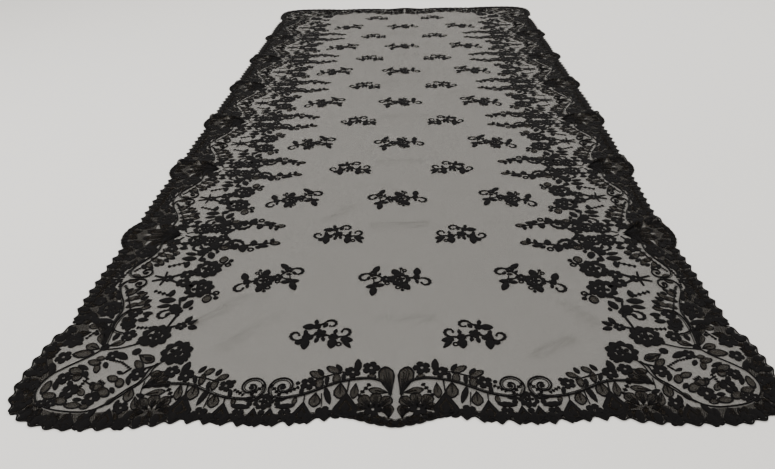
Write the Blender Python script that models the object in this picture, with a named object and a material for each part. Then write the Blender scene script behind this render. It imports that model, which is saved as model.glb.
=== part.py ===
"""A black lace mantilla, laid flat on a surface.

The frame is in metres with +Z up. The origin lies on the surface, under the middle of the cloth. +X runs
across the cloth and +Y along its length. The cloth is a net ground inside a scalloped lace border, with
flower sprays along the border and rows of small sprigs on the ground. The pieces of the border and the
ground are walls that rest on the surface, a seam apart. Sprays and sprigs are thin plates on the ground.
"""
import math

import bpy
from mathutils.geometry import delaunay_2d_cdt

# Rows of sprigs: rows of two and rows of three take turns along the cloth
PITCH = 0.1417
ROWS = 15
MIDDLE_ROW = (ROWS - 1) / 2

# Walls and gaps
NET_THICKNESS = 0.0012
BORDER_THICKNESS = 0.0012
TRIM_THICKNESS = 0.0006
SEAM = 0.0003
TRIM_BASE = NET_THICKNESS + SEAM

# Outer size
HALF_WIDTH = 0.5490
HALF_LENGTH = MIDDLE_ROW * PITCH + 0.1825

# Scallops stand out from the edge lines below by this, and the small ones on the fans by less
SCALLOP_PITCH = 0.0240
SCALLOP_DEPTH = 0.0060
FAN_SCALLOP_DEPTH = 0.0020

# Edge line of the long sides, which have fans at every second row of two
FANS = (-5, -3, -1, 1, 3, 5)
FAN_REACH = 0.0470
FAN_SCALLOPS = 4
SIDE_EDGE = (
    # distance from the fan's middle, distance from the middle line
    (0.0000, HALF_WIDTH - FAN_SCALLOP_DEPTH),
    (0.0200, 0.5440),
    (0.0350, 0.5370),
    (0.0470, 0.5290),
    (0.0900, 0.5315),
    (0.1417, 0.5320),
    (0.1934, 0.5315),
    (0.2364, 0.5290),
    (0.2620, 0.5200),
)

# Edge line of the ends, which have a fan in the middle and a lobe on each side of it
END_FAN_REACH = 0.0830
END_FAN_SCALLOPS = 4
END_LOBE_END = 0.2870
END_EDGE = (
    # distance from the middle line, distance in from the end
    (0.0000, 0.0050),
    (0.0300, 0.0110),
    (0.0520, 0.0185),
    (0.0670, 0.0225),
    (0.0830, 0.0255),
    (0.1100, 0.0195),
    (0.1430, 0.0150),
    (0.1823, 0.0140),
    (0.2200, 0.0155),
    (0.2550, 0.0185),
    (0.2870, 0.0205),
)
END_REPEAT = 0.1823
CREST = 0.5

# Corner of the outer edge, from the last notch of the end to the last notch of the side
CORNER_EDGE = (
    # x, y in from the end
    (0.2870, 0.0205),
    (0.3300, 0.0120),
    (0.3700, 0.0080),
    (0.4100, 0.0070),
    (0.4600, 0.0086),
    (0.5010, 0.0200),
    (0.5300, 0.0415),
    (0.5415, 0.0680),
    (0.5445, 0.1010),
    (0.5420, 0.1450),
    (0.5365, 0.1760),
    (0.5200, 0.2040),
)
SIDE_START = HALF_LENGTH - 0.2040
STEM_STEP = 0.012

# Inner line of the side border, along its scrolling stem, from a row of two to a row of three
SIDE_STEM = (
    # distance from the row of two, distance from the middle line
    (0.0000, 0.4230),
    (0.0190, 0.4540),
    (0.0360, 0.4500),
    (0.0540, 0.4550),
    (0.0950, 0.4770),
    (0.1080, 0.4770),
    (0.1180, 0.4440),
    (0.1280, 0.4405),
    (0.1370, 0.4470),
    (0.1405, 0.4580),
)

# Inner line of the end border, along its stem, from the middle fan to the pair of scrolls
END_STEM = (
    # distance from the middle line, distance in from the end
    (0.0030, 0.0680),
    (0.0060, 0.1070),
    (0.0190, 0.1110),
    (0.0270, 0.0880),
    (0.0520, 0.0880),
    (0.0840, 0.0780),
    (0.1180, 0.0620),
    (0.1370, 0.0560),
    (0.1450, 0.0680),
    (0.1490, 0.0830),
    (0.1610, 0.0885),
    (0.1730, 0.0830),
    (0.1800, 0.0700),
)

# Inner line of the border round a corner, from the end border's stem to the side border's
CORNER_STEM = (
    # distance from the middle line, distance in from the end
    (0.3130, 0.0880),
    (0.3430, 0.0890),
    (0.3560, 0.1080),
    (0.3860, 0.1330),
    (0.4080, 0.1560),
    (0.4300, 0.1720),
    (0.4485, 0.1880),
    (0.4530, 0.2040),
)

# How the cloth lies: its right side is drawn in along the near part, and its near end is askew
DRAWN_IN = (
    # distance along the cloth, how far the edge is drawn in
    (-1.20, 0.010),
    (-0.98, 0.010),
    (-0.90, 0.020),
    (-0.60, 0.022),
    (-0.45, 0.012),
    (-0.25, 0.003),
    (0.00, 0.000),
)
DRAWN_FROM = 0.440
END_SKEW = 0.0115
SKEW_FROM = 0.950
SKEW_OVER = 0.180

# Creases and puckers: a ridge along a line, with its height at each end and its half width
RIDGES = (
    # x0, y0, x1, y1, height at 0, height at 1, half width
    (-0.030, -0.958, 0.050, -0.956, 0.0012, 0.0016, 0.010),
    (-0.052, -0.676, 0.054, -0.673, 0.0024, 0.0030, 0.012),
    (0.176, -0.672, 0.214, -0.672, 0.0014, 0.0010, 0.008),
    (-0.050, -0.392, 0.045, -0.390, 0.0014, 0.0020, 0.011),
    (-0.055, -0.111, 0.056, -0.106, 0.0028, 0.0032, 0.013),
    (-0.048, 0.174, 0.055, 0.177, 0.0020, 0.0026, 0.012),
    (-0.054, 0.458, 0.050, 0.460, 0.0016, 0.0012, 0.010),
    (-0.050, 0.742, 0.052, 0.744, 0.0024, 0.0020, 0.012),
    (-0.322, -0.968, -0.262, -0.902, 0.0038, 0.0016, 0.011),
    (-0.262, -1.020, -0.205, -0.955, 0.0024, 0.0012, 0.011),
    (0.312, -0.965, 0.270, -0.915, 0.0030, 0.0014, 0.010),
    (0.205, -1.036, 0.262, -1.004, 0.0020, 0.0026, 0.010),
    (-0.150, -0.655, -0.098, -0.602, 0.0016, 0.0022, 0.009),
    (0.112, 0.055, 0.190, 0.088, 0.0018, 0.0022, 0.010),
    (-0.318, 0.968, -0.266, 0.905, 0.0026, 0.0014, 0.010),
    (0.316, 0.970, 0.262, 0.906, 0.0032, 0.0016, 0.011),
    (0.462, -0.672, 0.545, -0.655, 0.0030, 0.0110, 0.016),
    (0.465, -0.388, 0.562, -0.380, 0.0025, 0.0110, 0.015),
    (0.464, -0.112, 0.562, -0.106, 0.0020, 0.0100, 0.015),
    (0.466, 0.178, 0.562, 0.186, 0.0020, 0.0080, 0.014),
    (0.466, 0.746, 0.562, 0.752, 0.0020, 0.0070, 0.014),
    (-0.464, -0.392, -0.562, -0.386, 0.0025, 0.0100, 0.015),
    (-0.464, -0.108, -0.562, -0.102, 0.0025, 0.0110, 0.015),
    (-0.466, 0.180, -0.562, 0.184, 0.0020, 0.0080, 0.014),
    (-0.466, 0.462, -0.562, 0.468, 0.0020, 0.0080, 0.014),
)
RIDGE_LINES = (-1.0, -0.5, 0.0, 0.5, 1.0)
RIDGE_STEPS = 2
GRID_STEP = 0.150

# Small sprig for the rows of two, the left one of the pair, about its own middle
SPRIG_OF_TWO = (
    # kind, x, y, turn in degrees, length, width
    ("flower", -0.0050, 0.0010, 0, 0.0170, 0),
    ("stem", -0.0050, 0.0010, 112, 0.0200, 0.0080),
    ("leaf", -0.0110, 0.0170, 184, 0.0250, 0.0120),
    ("stem", -0.0110, 0.0180, 43, 0.0180, 0.0050),
    ("curl", 0.0013, 0.0296, 70, 0.0190, -1),
    ("stem", -0.0050, 0.0010, 200, 0.0250, 0.0045),
    ("leaf", -0.0270, -0.0050, 271, 0.0310, 0.0120),
    ("stem", -0.0270, -0.0100, 205, 0.0140, 0.0050),
    ("curl", -0.0380, -0.0160, 195, 0.0200, -1),
    ("stem", -0.0050, 0.0010, -20, 0.0230, 0.0045),
    ("leaf", 0.0160, -0.0040, 268, 0.0270, 0.0130),
    ("stem", 0.0140, -0.0070, 0, 0.0260, 0.0055),
    ("curl", 0.0380, -0.0060, 5, 0.0180, 1),
    ("leaf", 0.0310, -0.0085, -6, 0.0190, 0.0110),
    ("leaf", 0.0310, -0.0070, -53, 0.0290, 0.0090),
)
SPRIG_OF_TWO_X = 0.1155

# Larger sprig for the rows of three, about its rose
SPRIG_OF_THREE = (
    # kind, x, y, turn in degrees, length, width
    ("rose", 0.0000, 0.0000, 15, 0.0360, 0),
    ("leaf", -0.0020, 0.0110, 123, 0.0220, 0.0130),
    ("leaf", 0.0060, -0.0110, -54, 0.0210, 0.0130),
    ("stem", 0.0140, 0.0040, 4, 0.0240, 0.0055),
    ("leaf", 0.0310, 0.0030, 92, 0.0300, 0.0120),
    ("curl", 0.0360, 0.0055, 14, 0.0220, -1),
    ("flower", -0.0235, 0.0010, 0, 0.0180, 0),
    ("stem", -0.0280, 0.0030, 148, 0.0260, 0.0040),
    ("flower", -0.0500, 0.0160, 0, 0.0150, 0),
    ("leaf", -0.0490, 0.0180, 66, 0.0220, 0.0100),
    ("curl", -0.0540, 0.0175, 166, 0.0220, 1),
    ("stem", -0.0280, 0.0010, 225, 0.0260, 0.0040),
    ("leaf", -0.0420, -0.0170, 200, 0.0190, 0.0100),
    ("leaf", -0.0430, -0.0160, 262, 0.0310, 0.0110),
    ("leaf", -0.0450, -0.0180, 14, 0.0140, 0.0090),
)
MIDDLE_SPRIG = (0.0025, -0.0025)
OUTER_SPRIG = (0.2370, -0.0060)
OUTER_SPRIG_TURN = -20

# From the row of three next to an end to that end's edge
SIDE_END_ROW = HALF_LENGTH - (MIDDLE_ROW - 1) * PITCH

# Spray of the side border: one half, from a row of three, where x is out from the middle line
SIDE_SPRAY = (
    # kind, x, y past the row of three, turn in degrees, length, width
    ("rose", 0.3440, 0.0280, 10, 0.0470, 0),
    ("flower", 0.3760, 0.0135, 0, 0.0240, 0),
    ("stem", 0.3720, 0.0160, 150, 0.0200, 0.0070),
    ("leaf", 0.3260, 0.0430, 86, 0.0220, 0.0150),
    ("stem", 0.3500, 0.0400, 46, 0.0300, 0.0060),
    ("leaf", 0.3740, 0.0600, 0, 0.0290, 0.0120),
    ("leaf", 0.3660, 0.0590, -24, 0.0580, 0.0080),
    ("curl", 0.3700, 0.0690, -4, 0.0230, 1),
    ("stem", 0.3700, 0.0540, 106, 0.0500, 0.0120),
)
SIDE_BRANCH = (
    # kind, x, y past the row of three, turn in degrees, length, width
    ("stem", 0.3590, 0.0900, 88, 0.0250, 0.0100),
    ("rose", 0.3880, 0.1190, 30, 0.0360, 0),
    ("rose", 0.3620, 0.1220, 0, 0.0320, 0),
    ("stem", 0.3560, 0.1080, 188, 0.0600, 0.0055),
    ("leaf", 0.3440, 0.1050, 268, 0.0220, 0.0100),
    ("flower", 0.3140, 0.1010, 0, 0.0200, 0),
    ("leaf", 0.2990, 0.1010, 262, 0.0270, 0.0160),
    ("curl", 0.2980, 0.1000, 70, 0.0270, -1),
    ("stem", 0.3020, 0.1000, 170, 0.0560, 0.0045),
    ("leaf", 0.2790, 0.1030, 82, 0.0210, 0.0140),
    ("leaf", 0.2520, 0.1090, 180, 0.0250, 0.0150),
    ("leaf", 0.2470, 0.1110, 112, 0.0280, 0.0090),
)
SIDE_TWIG = (
    # kind, x, y past the row of three, turn in degrees, length, width
    ("flower", 0.4040, 0.0000, 0, 0.0190, 0),
    ("stem", 0.3720, 0.0000, 0, 0.0300, 0.0100),
    ("leaf", 0.4040, 0.0000, 18, 0.0300, 0.0060),
    ("leaf", 0.4040, 0.0000, -18, 0.0300, 0.0060),
)

# Spray of an end border, right half, from the corner roses to the middle fan
END_SPRAY = (
    # kind, x, y in from the end, turn in degrees, length, width
    ("flower", 0.1260, 0.0810, 0, 0.0220, 0),
    ("stem", 0.1300, 0.0810, 160, 0.0720, 0.0045),
    ("leaf", 0.1200, 0.0840, 86, 0.0200, 0.0110),
    ("leaf", 0.1100, 0.0900, -96, 0.0180, 0.0090),
    ("leaf", 0.0990, 0.0920, 82, 0.0220, 0.0110),
    ("leaf", 0.0860, 0.1000, -96, 0.0180, 0.0090),
    ("flower", 0.0630, 0.1050, 0, 0.0220, 0),
    ("leaf", 0.0560, 0.1060, 90, 0.0260, 0.0090),
    ("flower", 0.0400, 0.1110, 0, 0.0240, 0),
    ("stem", 0.0640, 0.1060, 167, 0.0220, 0.0045),
)
CORNER_SPRAY = (
    # kind, x, y in from the end, turn in degrees, length, width
    ("rose", 0.3760, 0.1800, 0, 0.0460, 0),
    ("stem", 0.3700, 0.1740, 222, 0.0380, 0.0090),
    ("rose", 0.3350, 0.1430, 20, 0.0460, 0),
    ("leaf", 0.3660, 0.2040, 14, 0.0180, 0.0080),
    ("leaf", 0.3660, 0.2040, 200, 0.0200, 0.0080),
    ("stem", 0.3600, 0.2360, -78, 0.0450, 0.0060),
    ("flower", 0.3290, 0.1080, 0, 0.0230, 0),
    ("stem", 0.3320, 0.1260, -86, 0.0200, 0.0080),
    ("flower", 0.3060, 0.0960, 0, 0.0210, 0),
    ("stem", 0.3280, 0.1060, 200, 0.0240, 0.0060),
    ("stem", 0.3060, 0.0960, 198, 0.0680, 0.0040),
    ("leaf", 0.2880, 0.0910, 66, 0.0200, 0.0100),
    ("leaf", 0.2820, 0.0890, -100, 0.0180, 0.0090),
    ("leaf", 0.2640, 0.0830, 72, 0.0200, 0.0100),
    ("flower", 0.2400, 0.0760, 0, 0.0220, 0),
)

# Shapes of the motifs, as shares of their own sizes
ROSE_PETALS = 6
FLOWER_PETALS = 4
PETAL_NOTCH = 0.78
LEAF_FULLEST = 0.45
SMALL_LEAF = 0.0125
CURL_SWEEP = math.radians(250)
CURL_TIGHTENING = 1.2
CURL_LENGTH = 2.3
CURL_STEPS = 5
CURL_WIDTH = 0.23
MERGE = 0.0009
STRAIGHT = 0.00020
SPRIG_POINTS = 36
SPRAY_POINTS = 88
END_SPRAY_POINTS = 36

FINISHES = {
    # name: red, green, blue, roughness
    "net": (0.110, 0.096, 0.070, 0.85),
    "border": (0.016, 0.014, 0.013, 0.62),
    "trim": (0.010, 0.009, 0.010, 0.55),
}


def clear_scene():
    """Removes every object that the file holds."""
    for item in list(bpy.data.objects):
        bpy.data.objects.remove(item, do_unlink=True)


def finish(node, kind):
    """Gives the node a material of its own."""
    red, green, blue, roughness = FINISHES[kind]
    material = bpy.data.materials.new(node.name + "_" + kind)
    material.use_nodes = True
    shader = material.node_tree.nodes["Principled BSDF"]
    shader.inputs["Base Color"].default_value = (red, green, blue, 1.0)
    shader.inputs["Roughness"].default_value = roughness
    shader.inputs["Metallic"].default_value = 0.0
    material.diffuse_color = (red, green, blue, 1.0)
    node.data.materials.append(material)


def smooth_line(points, steps):
    """A smooth curve through the points (Catmull-Rom), with some steps from each point to the next."""
    line = []
    for number in range(len(points) - 1):
        before = points[max(number - 1, 0)]
        start, end = points[number], points[number + 1]
        after = points[min(number + 2, len(points) - 1)]
        for step in range(steps):
            t = step / steps
            line.append(tuple(0.5 * (2 * start[k] + (end[k] - before[k]) * t
                                     + (2 * before[k] - 5 * start[k] + 4 * end[k] - after[k]) * t ** 2
                                     + (3 * start[k] - before[k] - 3 * end[k] + after[k]) * t ** 3)
                              for k in (0, 1)))
    return line + [tuple(points[-1])]


def along(line, share):
    """The point at a share of the line's length, and the direction to its right."""
    lengths = [math.dist(a, b) for a, b in zip(line, line[1:])]
    left = share * sum(lengths)
    for (a, b), length in zip(zip(line, line[1:]), lengths):
        if left <= length or (a, b) == (line[-2], line[-1]):
            t = left / length
            tangent = ((b[0] - a[0]) / length, (b[1] - a[1]) / length)
            return (a[0] + (b[0] - a[0]) * t, a[1] + (b[1] - a[1]) * t), (tangent[1], -tangent[0])
        left -= length


def scallops(line, count, depth):
    """Scallops along a line, which stand out to its right: a notch and a crest each."""
    points = []
    for number in range(count):
        for share, out in ((0.0, 0.0), (CREST, 1.0)):
            (x, y), (right_x, right_y) = along(line, (number + share) / count)
            points.append((x + right_x * out * depth, y + right_y * out * depth))
    return points


def read(table, distance):
    """The second column of a table at a value of its first, on the straight line between two rows."""
    rows = list(zip(table, table[1:]))
    for (x0, y0), (x1, y1) in rows:
        if distance <= x1 or (x1, y1) == table[-1]:
            share = min(max((distance - x0) / (x1 - x0), 0.0), 1.0)
            return y0 + (y1 - y0) * share


def laid(x, y):
    """Where a point of the even pattern lies on the surface."""
    share = min(max((x - DRAWN_FROM) / (HALF_WIDTH - DRAWN_FROM), 0.0), 1.2)
    t = min(max((-y - SKEW_FROM) / SKEW_OVER, 0.0), 1.0)
    return x - share * read(DRAWN_IN, y), y + END_SKEW * x / HALF_WIDTH * t * t * (3 - 2 * t)


def side_outline():
    """Outer edge of the right side, from its nearest notch up to its farthest."""
    points = []
    stops = [-SIDE_START]
    for fan in FANS:
        stops += [fan * PITCH - FAN_REACH, fan * PITCH + FAN_REACH]
    stops.append(SIDE_START)
    for number, (y0, y1) in enumerate(zip(stops, stops[1:])):
        line = []
        for step in range(13):
            y = y0 + (y1 - y0) * step / 12
            line.append((read(SIDE_EDGE, min(abs(y - fan * PITCH) for fan in FANS)), y))
        if number % 2 == 0:
            points += scallops(line, round((y1 - y0) / SCALLOP_PITCH), SCALLOP_DEPTH)
        else:
            points += scallops(line, FAN_SCALLOPS, FAN_SCALLOP_DEPTH)
    return points + [line[-1]]


def end_outline():
    """Outer edge of the near end's right half, from the middle fan round the corner to the side's notch."""
    def stretch(x0, x1):
        steps = [x0 + (x1 - x0) * step / 12 for step in range(13)]
        return [(x, read(END_EDGE, x) - HALF_LENGTH) for x in steps]

    lobe = stretch(END_FAN_REACH, END_LOBE_END)
    corner = smooth_line([(x, y - HALF_LENGTH) for x, y in CORNER_EDGE], 6)
    points = scallops(stretch(0.0, END_FAN_REACH), END_FAN_SCALLOPS, FAN_SCALLOP_DEPTH)
    for line in (lobe, corner):
        length = sum(math.dist(a, b) for a, b in zip(line, line[1:]))
        points += scallops(line, round(length / SCALLOP_PITCH), SCALLOP_DEPTH)
    return points + [corner[-1]]


def side_inner():
    """Inner line of the right side border, from near to far."""
    half = []
    for unit in range(int(MIDDLE_ROW)):
        start = unit * PITCH
        rows = [(x, start + (PITCH - d if unit % 2 == 0 else d)) for d, x in SIDE_STEM]
        rows.sort(key=lambda point: point[1])
        half += [point for point in rows if point[1] < SIDE_START - STEM_STEP]
    half = [half[0]] + [b for a, b in zip(half, half[1:]) if b[1] - a[1] > 0.0005]
    half.append((CORNER_STEM[-1][0], SIDE_START))
    return [(x, -y) for x, y in reversed(half)] + half


def end_inner():
    """Inner line of the near end border's right half, from the middle fan to the side's notch."""
    points = [(x, y - HALF_LENGTH) for x, y in END_STEM]
    mirrored = [(2 * END_REPEAT - x, y) for x, y in reversed(points)]
    points += [point for point in mirrored if point[0] < CORNER_STEM[0][0] - 0.008]
    return points + [(x, y - HALF_LENGTH) for x, y in CORNER_STEM]


def moved_in(line, gap):
    """The open line moved to its left by a gap, with each corner kept whole."""
    moved = []
    for number, (x, y) in enumerate(line):
        normals = []
        for a, b in ((number - 1, number), (number, number + 1)):
            if a >= 0 and b < len(line):
                length = math.dist(line[a], line[b])
                normals.append(((line[a][1] - line[b][1]) / length, (line[b][0] - line[a][0]) / length))
        nx = sum(n[0] for n in normals) / len(normals)
        ny = sum(n[1] for n in normals) / len(normals)
        size = max(nx * nx + ny * ny, 0.25)
        moved.append((x + gap * nx / size, y + gap * ny / size))
    return moved


def mirrored(points, across=False, lengthwise=False):
    """The points mirrored across the middle line, or end for end."""
    return [(-x if across else x, -y if lengthwise else y) for x, y in points]


def lift(x, y):
    """Height of the cloth's underside over the surface: the highest of the ridges there.

    A ridge's section is a bell, (1 - s^2)^2 over its half width, and it fades out past its two ends.
    """
    height = 0.0
    for x0, y0, x1, y1, h0, h1, half in RIDGES:
        length = math.dist((x0, y0), (x1, y1))
        ux, uy = (x1 - x0) / length, (y1 - y0) / length
        run = (x - x0) * ux + (y - y0) * uy
        off = abs((x - x0) * uy - (y - y0) * ux) / half
        past = max(0.0, -run, run - length) / half
        share = min(max(run / length, 0.0), 1.0)
        s = math.hypot(off, past)
        if s < 1.0:
            height = max(height, (h0 + (h1 - h0) * share) * (1 - s * s) ** 2)
    return height


def inside(point, outline):
    """Whether the point lies inside the closed outline."""
    x, y = point
    crossings = 0
    for (x0, y0), (x1, y1) in zip(outline, outline[1:] + outline[:1]):
        if (y0 > y) != (y1 > y) and x < x0 + (y - y0) * (x1 - x0) / (y1 - y0):
            crossings += 1
    return crossings % 2 == 1


def off(point, start, end):
    """Distance from the point to the straight line between two points."""
    length = math.dist(start, end) ** 2
    t = ((point[0] - start[0]) * (end[0] - start[0]) + (point[1] - start[1]) * (end[1] - start[1])) / length
    t = min(max(t, 0.0), 1.0)
    return math.dist(point, (start[0] + t * (end[0] - start[0]), start[1] + t * (end[1] - start[1])))


def clearance(point, outline):
    """Distance from the point to the closed outline."""
    return min(off(point, start, end) for start, end in zip(outline, outline[1:] + outline[:1]))


def ridge_points(outline):
    """Points on the ridges' crests, flanks and feet that lie well inside the outline."""
    points = []
    for x0, y0, x1, y1, _, _, half in RIDGES:
        length = math.dist((x0, y0), (x1, y1))
        ux, uy = (x1 - x0) / length, (y1 - y0) / length
        for side in RIDGE_LINES:
            for step in range(RIDGE_STEPS + 1):
                run = length * step / RIDGE_STEPS
                points.append((x0 + ux * run + uy * side * half, y0 + uy * run - ux * side * half))
        points += [(x0 - ux * half, y0 - uy * half), (x1 + ux * half, y1 + uy * half)]
    return [point for point in points if inside(point, outline) and clearance(point, outline) > 0.0025]


def wall(name, outline, thickness, kind, base=0.0, ridged=False, grid=False):
    """A closed wall over an outline, as it lies: it follows the ridges, or is flat at its base."""
    outline = [laid(x, y) for x, y in outline]
    points = list(outline)
    if ridged:
        points += ridge_points(outline)
    if grid:
        columns = int(HALF_WIDTH / GRID_STEP)
        rows = int(HALF_LENGTH / GRID_STEP)
        spots = [(i * GRID_STEP, j * GRID_STEP) for i in range(-columns, columns + 1)
                 for j in range(-rows, rows + 1)]
        points += [spot for spot in spots
                   if inside(spot, outline) and clearance(spot, outline) > 0.012 and lift(*spot) == 0.0]
    flat, _, triangles, _, _, _ = delaunay_2d_cdt(points, [], [list(range(len(outline)))], 1, 1e-6)
    heights = [base + (lift(x, y) if ridged else 0.0) for x, y in flat]
    count = len(flat)
    verts = [(x, y, z + thickness) for (x, y), z in zip(flat, heights)]
    verts += [(x, y, z) for (x, y), z in zip(flat, heights)]
    tops = [list(face) for face in triangles]
    bottoms = [[index + count for index in reversed(face)] for face in tops]
    edges = {(a, b) for face in tops for a, b in zip(face, face[1:] + face[:1])}
    rims = [[b, a, a + count, b + count] for a, b in sorted(edges) if (b, a) not in edges]
    mesh = bpy.data.meshes.new(name)
    mesh.from_pydata(verts, [], tops + bottoms + rims)
    mesh.validate()
    node = bpy.data.objects.new(name, mesh)
    bpy.context.collection.objects.link(node)
    finish(node, kind)
    return node


def petals(count, size, turn):
    """A round flower's outline, with a notch between one petal and the next."""
    points = []
    for number in range(2 * count):
        angle = turn + math.pi * number / count
        radius = 0.5 * size * (1.0 if number % 2 == 0 else PETAL_NOTCH)
        points.append((radius * math.cos(angle), radius * math.sin(angle)))
    return points


def leaf(length, width):
    """A leaf's outline along +X: a kite if it is small, or else with two points on each side."""
    half = width / 2
    if width < SMALL_LEAF:
        return [(0, 0), (length * LEAF_FULLEST, -half), (length, 0), (length * LEAF_FULLEST, half)]
    near, far = 0.25 * length, 0.68 * length
    return [(0, 0), (near, -half), (far, -0.9 * half), (length, 0), (far, 0.9 * half), (near, half)]


def curl(size, hand):
    """A crescent's outline: it leaves its root along +X and winds ever tighter to one side.

    The path turns by a power of the way along it, and its width swells to its fullest half way.
    """
    x, y, outer, inner = 0.0, 0.0, [], []
    for number in range(CURL_STEPS + 1):
        share = number / CURL_STEPS
        heading = CURL_SWEEP * share ** CURL_TIGHTENING
        half = 0.5 * size * CURL_WIDTH * (0.35 + 0.65 * math.sin(math.pi * share))
        outer.append((x + half * math.sin(heading), hand * (y - half * math.cos(heading))))
        inner.append((x - half * math.sin(heading), hand * (y + half * math.cos(heading))))
        middle = CURL_SWEEP * ((number + 0.5) / CURL_STEPS) ** CURL_TIGHTENING
        x += CURL_LENGTH * size / CURL_STEPS * math.cos(middle)
        y += CURL_LENGTH * size / CURL_STEPS * math.sin(middle)
    return outer + inner[::-1]


def motif(kind, length, width):
    """Outline of one motif about its own origin."""
    if kind == "rose":
        return petals(ROSE_PETALS, length, 0.0)
    if kind == "flower":
        return petals(FLOWER_PETALS, length, 0.0)
    if kind == "curl":
        return curl(length, width)
    if kind == "leaf":
        return leaf(length, width)
    return [(0, -width / 2), (length, -width / 2), (length, width / 2), (0, width / 2)]


def placed(rows):
    """Outlines of a table's motifs, each turned and moved to its place."""
    shapes = []
    for kind, x, y, turn, length, width in rows:
        c, s = math.cos(math.radians(turn)), math.sin(math.radians(turn))
        shapes.append([(x + c * px - s * py, y + s * px + c * py) for px, py in motif(kind, length, width)])
    return shapes


def joined(shapes, name):
    """The one outline round overlapping shapes, without its holes, nicks and straight points."""
    points = [point for shape in shapes for point in shape]
    faces = []
    for shape in shapes:
        first = sum(len(face) for face in faces)
        faces.append(list(range(first, first + len(shape))))
    flat, _, triangles, _, _, _ = delaunay_2d_cdt(points, [], faces, 1, 1e-6)
    edges = {(a, b) for face in triangles for a, b in zip(face, list(face[1:]) + [face[0]])}
    rim = sorted((a, b) for a, b in edges if (b, a) not in edges)
    loops = []
    while rim:
        loop = list(rim.pop(0))
        while loop[-1] != loop[0]:
            here, before = flat[loop[-1]], flat[loop[-2]]
            ways = [edge for edge in rim if edge[0] == loop[-1]]
            way = min(ways, key=lambda edge: turned(before, here, flat[edge[1]]))
            rim.remove(way)
            loop.append(way[1])
        loops.append([tuple(flat[index]) for index in loop[:-1]])
    outlines = [loop for loop in loops if area(loop) > 0]
    if len(outlines) > 1:
        raise ValueError(name + " has shapes that don't meet: " + str([loop[0] for loop in outlines]))
    return trimmed(outlines[0])


def turned(before, here, after):
    """How far a path turns to the left at a point, from 0 for straight back on its right side."""
    back = math.atan2(before[1] - here[1], before[0] - here[0])
    ahead = math.atan2(after[1] - here[1], after[0] - here[0])
    return (back - ahead) % (2 * math.pi)


def area(loop):
    """Area inside a loop, above zero where it runs anticlockwise."""
    return 0.5 * sum(x0 * y1 - x1 * y0 for (x0, y0), (x1, y1) in zip(loop, loop[1:] + loop[:1]))


def trimmed(loop):
    """The loop without points that nearly meet or that stand in a nearly straight stretch."""
    points = list(loop)
    changed = True
    while changed:
        changed = False
        for number, point in enumerate(points):
            before, after = points[number - 1], points[(number + 1) % len(points)]
            gap = math.dist(before, after)
            height = 2 * abs(area([before, point, after])) / max(gap, 1e-9)
            if math.dist(before, point) < MERGE or (height < STRAIGHT and gap > MERGE):
                del points[number]
                changed = True
                break
    return points if area(points) > 0 else points[::-1]


def crosses(a, b, c, d):
    """Whether the line from a to b crosses the line from c to d."""
    return (area([a, b, c]) > 0) != (area([a, b, d]) > 0) and (area([c, d, a]) > 0) != (area([c, d, b]) > 0)


def simplified(loop, count):
    """The loop with its smallest corners taken off one by one, until a count of points is left."""
    points = list(loop)
    while len(points) > count:
        corners = []
        for number, point in enumerate(points):
            after = points[(number + 1) % len(points)]
            corners.append((abs(area([points[number - 1], point, after])), number))
        for _, number in sorted(corners):
            others = points[number + 1:] + points[:number]
            start, end = others[-1], others[0]
            clear = all(off(point, start, end) > 0.5 * MERGE for point in others[1:-1])
            if clear and not any(crosses(start, end, a, b) for a, b in zip(others[1:-1], others[2:-1])):
                del points[number]
                break
        else:
            break
    return points


def trim(name, shapes, count):
    """A thin plate of joined motifs on the net, with at most a count of points in its outline."""
    outline = simplified(joined(shapes, name), count)
    return wall(name, outline, TRIM_THICKNESS, "trim", base=TRIM_BASE)


def moved(shapes, x, y, flip_x=False, flip_y=False, turn=0):
    """Shapes turned about their own origin, mirrored there if asked, and then moved."""
    c, s = math.cos(math.radians(turn)), math.sin(math.radians(turn))
    turned = [[(c * px - s * py, s * px + c * py) for px, py in shape] for shape in shapes]
    sign_x, sign_y = (-1 if flip_x else 1), (-1 if flip_y else 1)
    return [[(x + sign_x * px, y + sign_y * py) for px, py in shape] for shape in turned]


def build_borders():
    """The four lengths of lace border: two sides, and two ends with their corners."""
    seam = 0.5 * SEAM
    outer, inner = side_outline(), side_inner()
    outer = [(x, min(max(y, seam - SIDE_START), SIDE_START - seam)) for x, y in outer]
    inner = [(x, min(max(y, seam - SIDE_START), SIDE_START - seam)) for x, y in inner]
    right = outer + inner[::-1]
    for name, across in (("border_right", False), ("border_left", True)):
        wall(name, mirrored(right, across=across), BORDER_THICKNESS, "border", ridged=True)
    edge, stem = end_outline(), end_inner()
    edge[-1] = (edge[-1][0], edge[-1][1] - seam)
    stem[-1] = (stem[-1][0], stem[-1][1] - seam)
    half = edge + stem[::-1]
    near = mirrored(half, across=True)[::-1] + half[1:]
    near = [point for number, point in enumerate(near) if math.dist(point, near[number - 1]) > 1e-5]
    for name, lengthwise in (("border_near", False), ("border_far", True)):
        wall(name, mirrored(near, lengthwise=lengthwise), BORDER_THICKNESS, "border", ridged=True)


def build_net():
    """The net ground inside the border's inner line, a seam away from it."""
    side = side_inner()
    end = end_inner()
    ring = mirrored(end, across=True)[::-1] + end + side[1:-1]
    far = mirrored(end, lengthwise=True)
    ring += far[::-1] + mirrored(far, across=True) + mirrored(side[1:-1], across=True)[::-1]
    looped = ring[-1:] + ring + ring[:1]
    inner = moved_in(looped, SEAM)[1:-1]
    wall("net_ground", inner, NET_THICKNESS, "net", ridged=True, grid=True)


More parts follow.
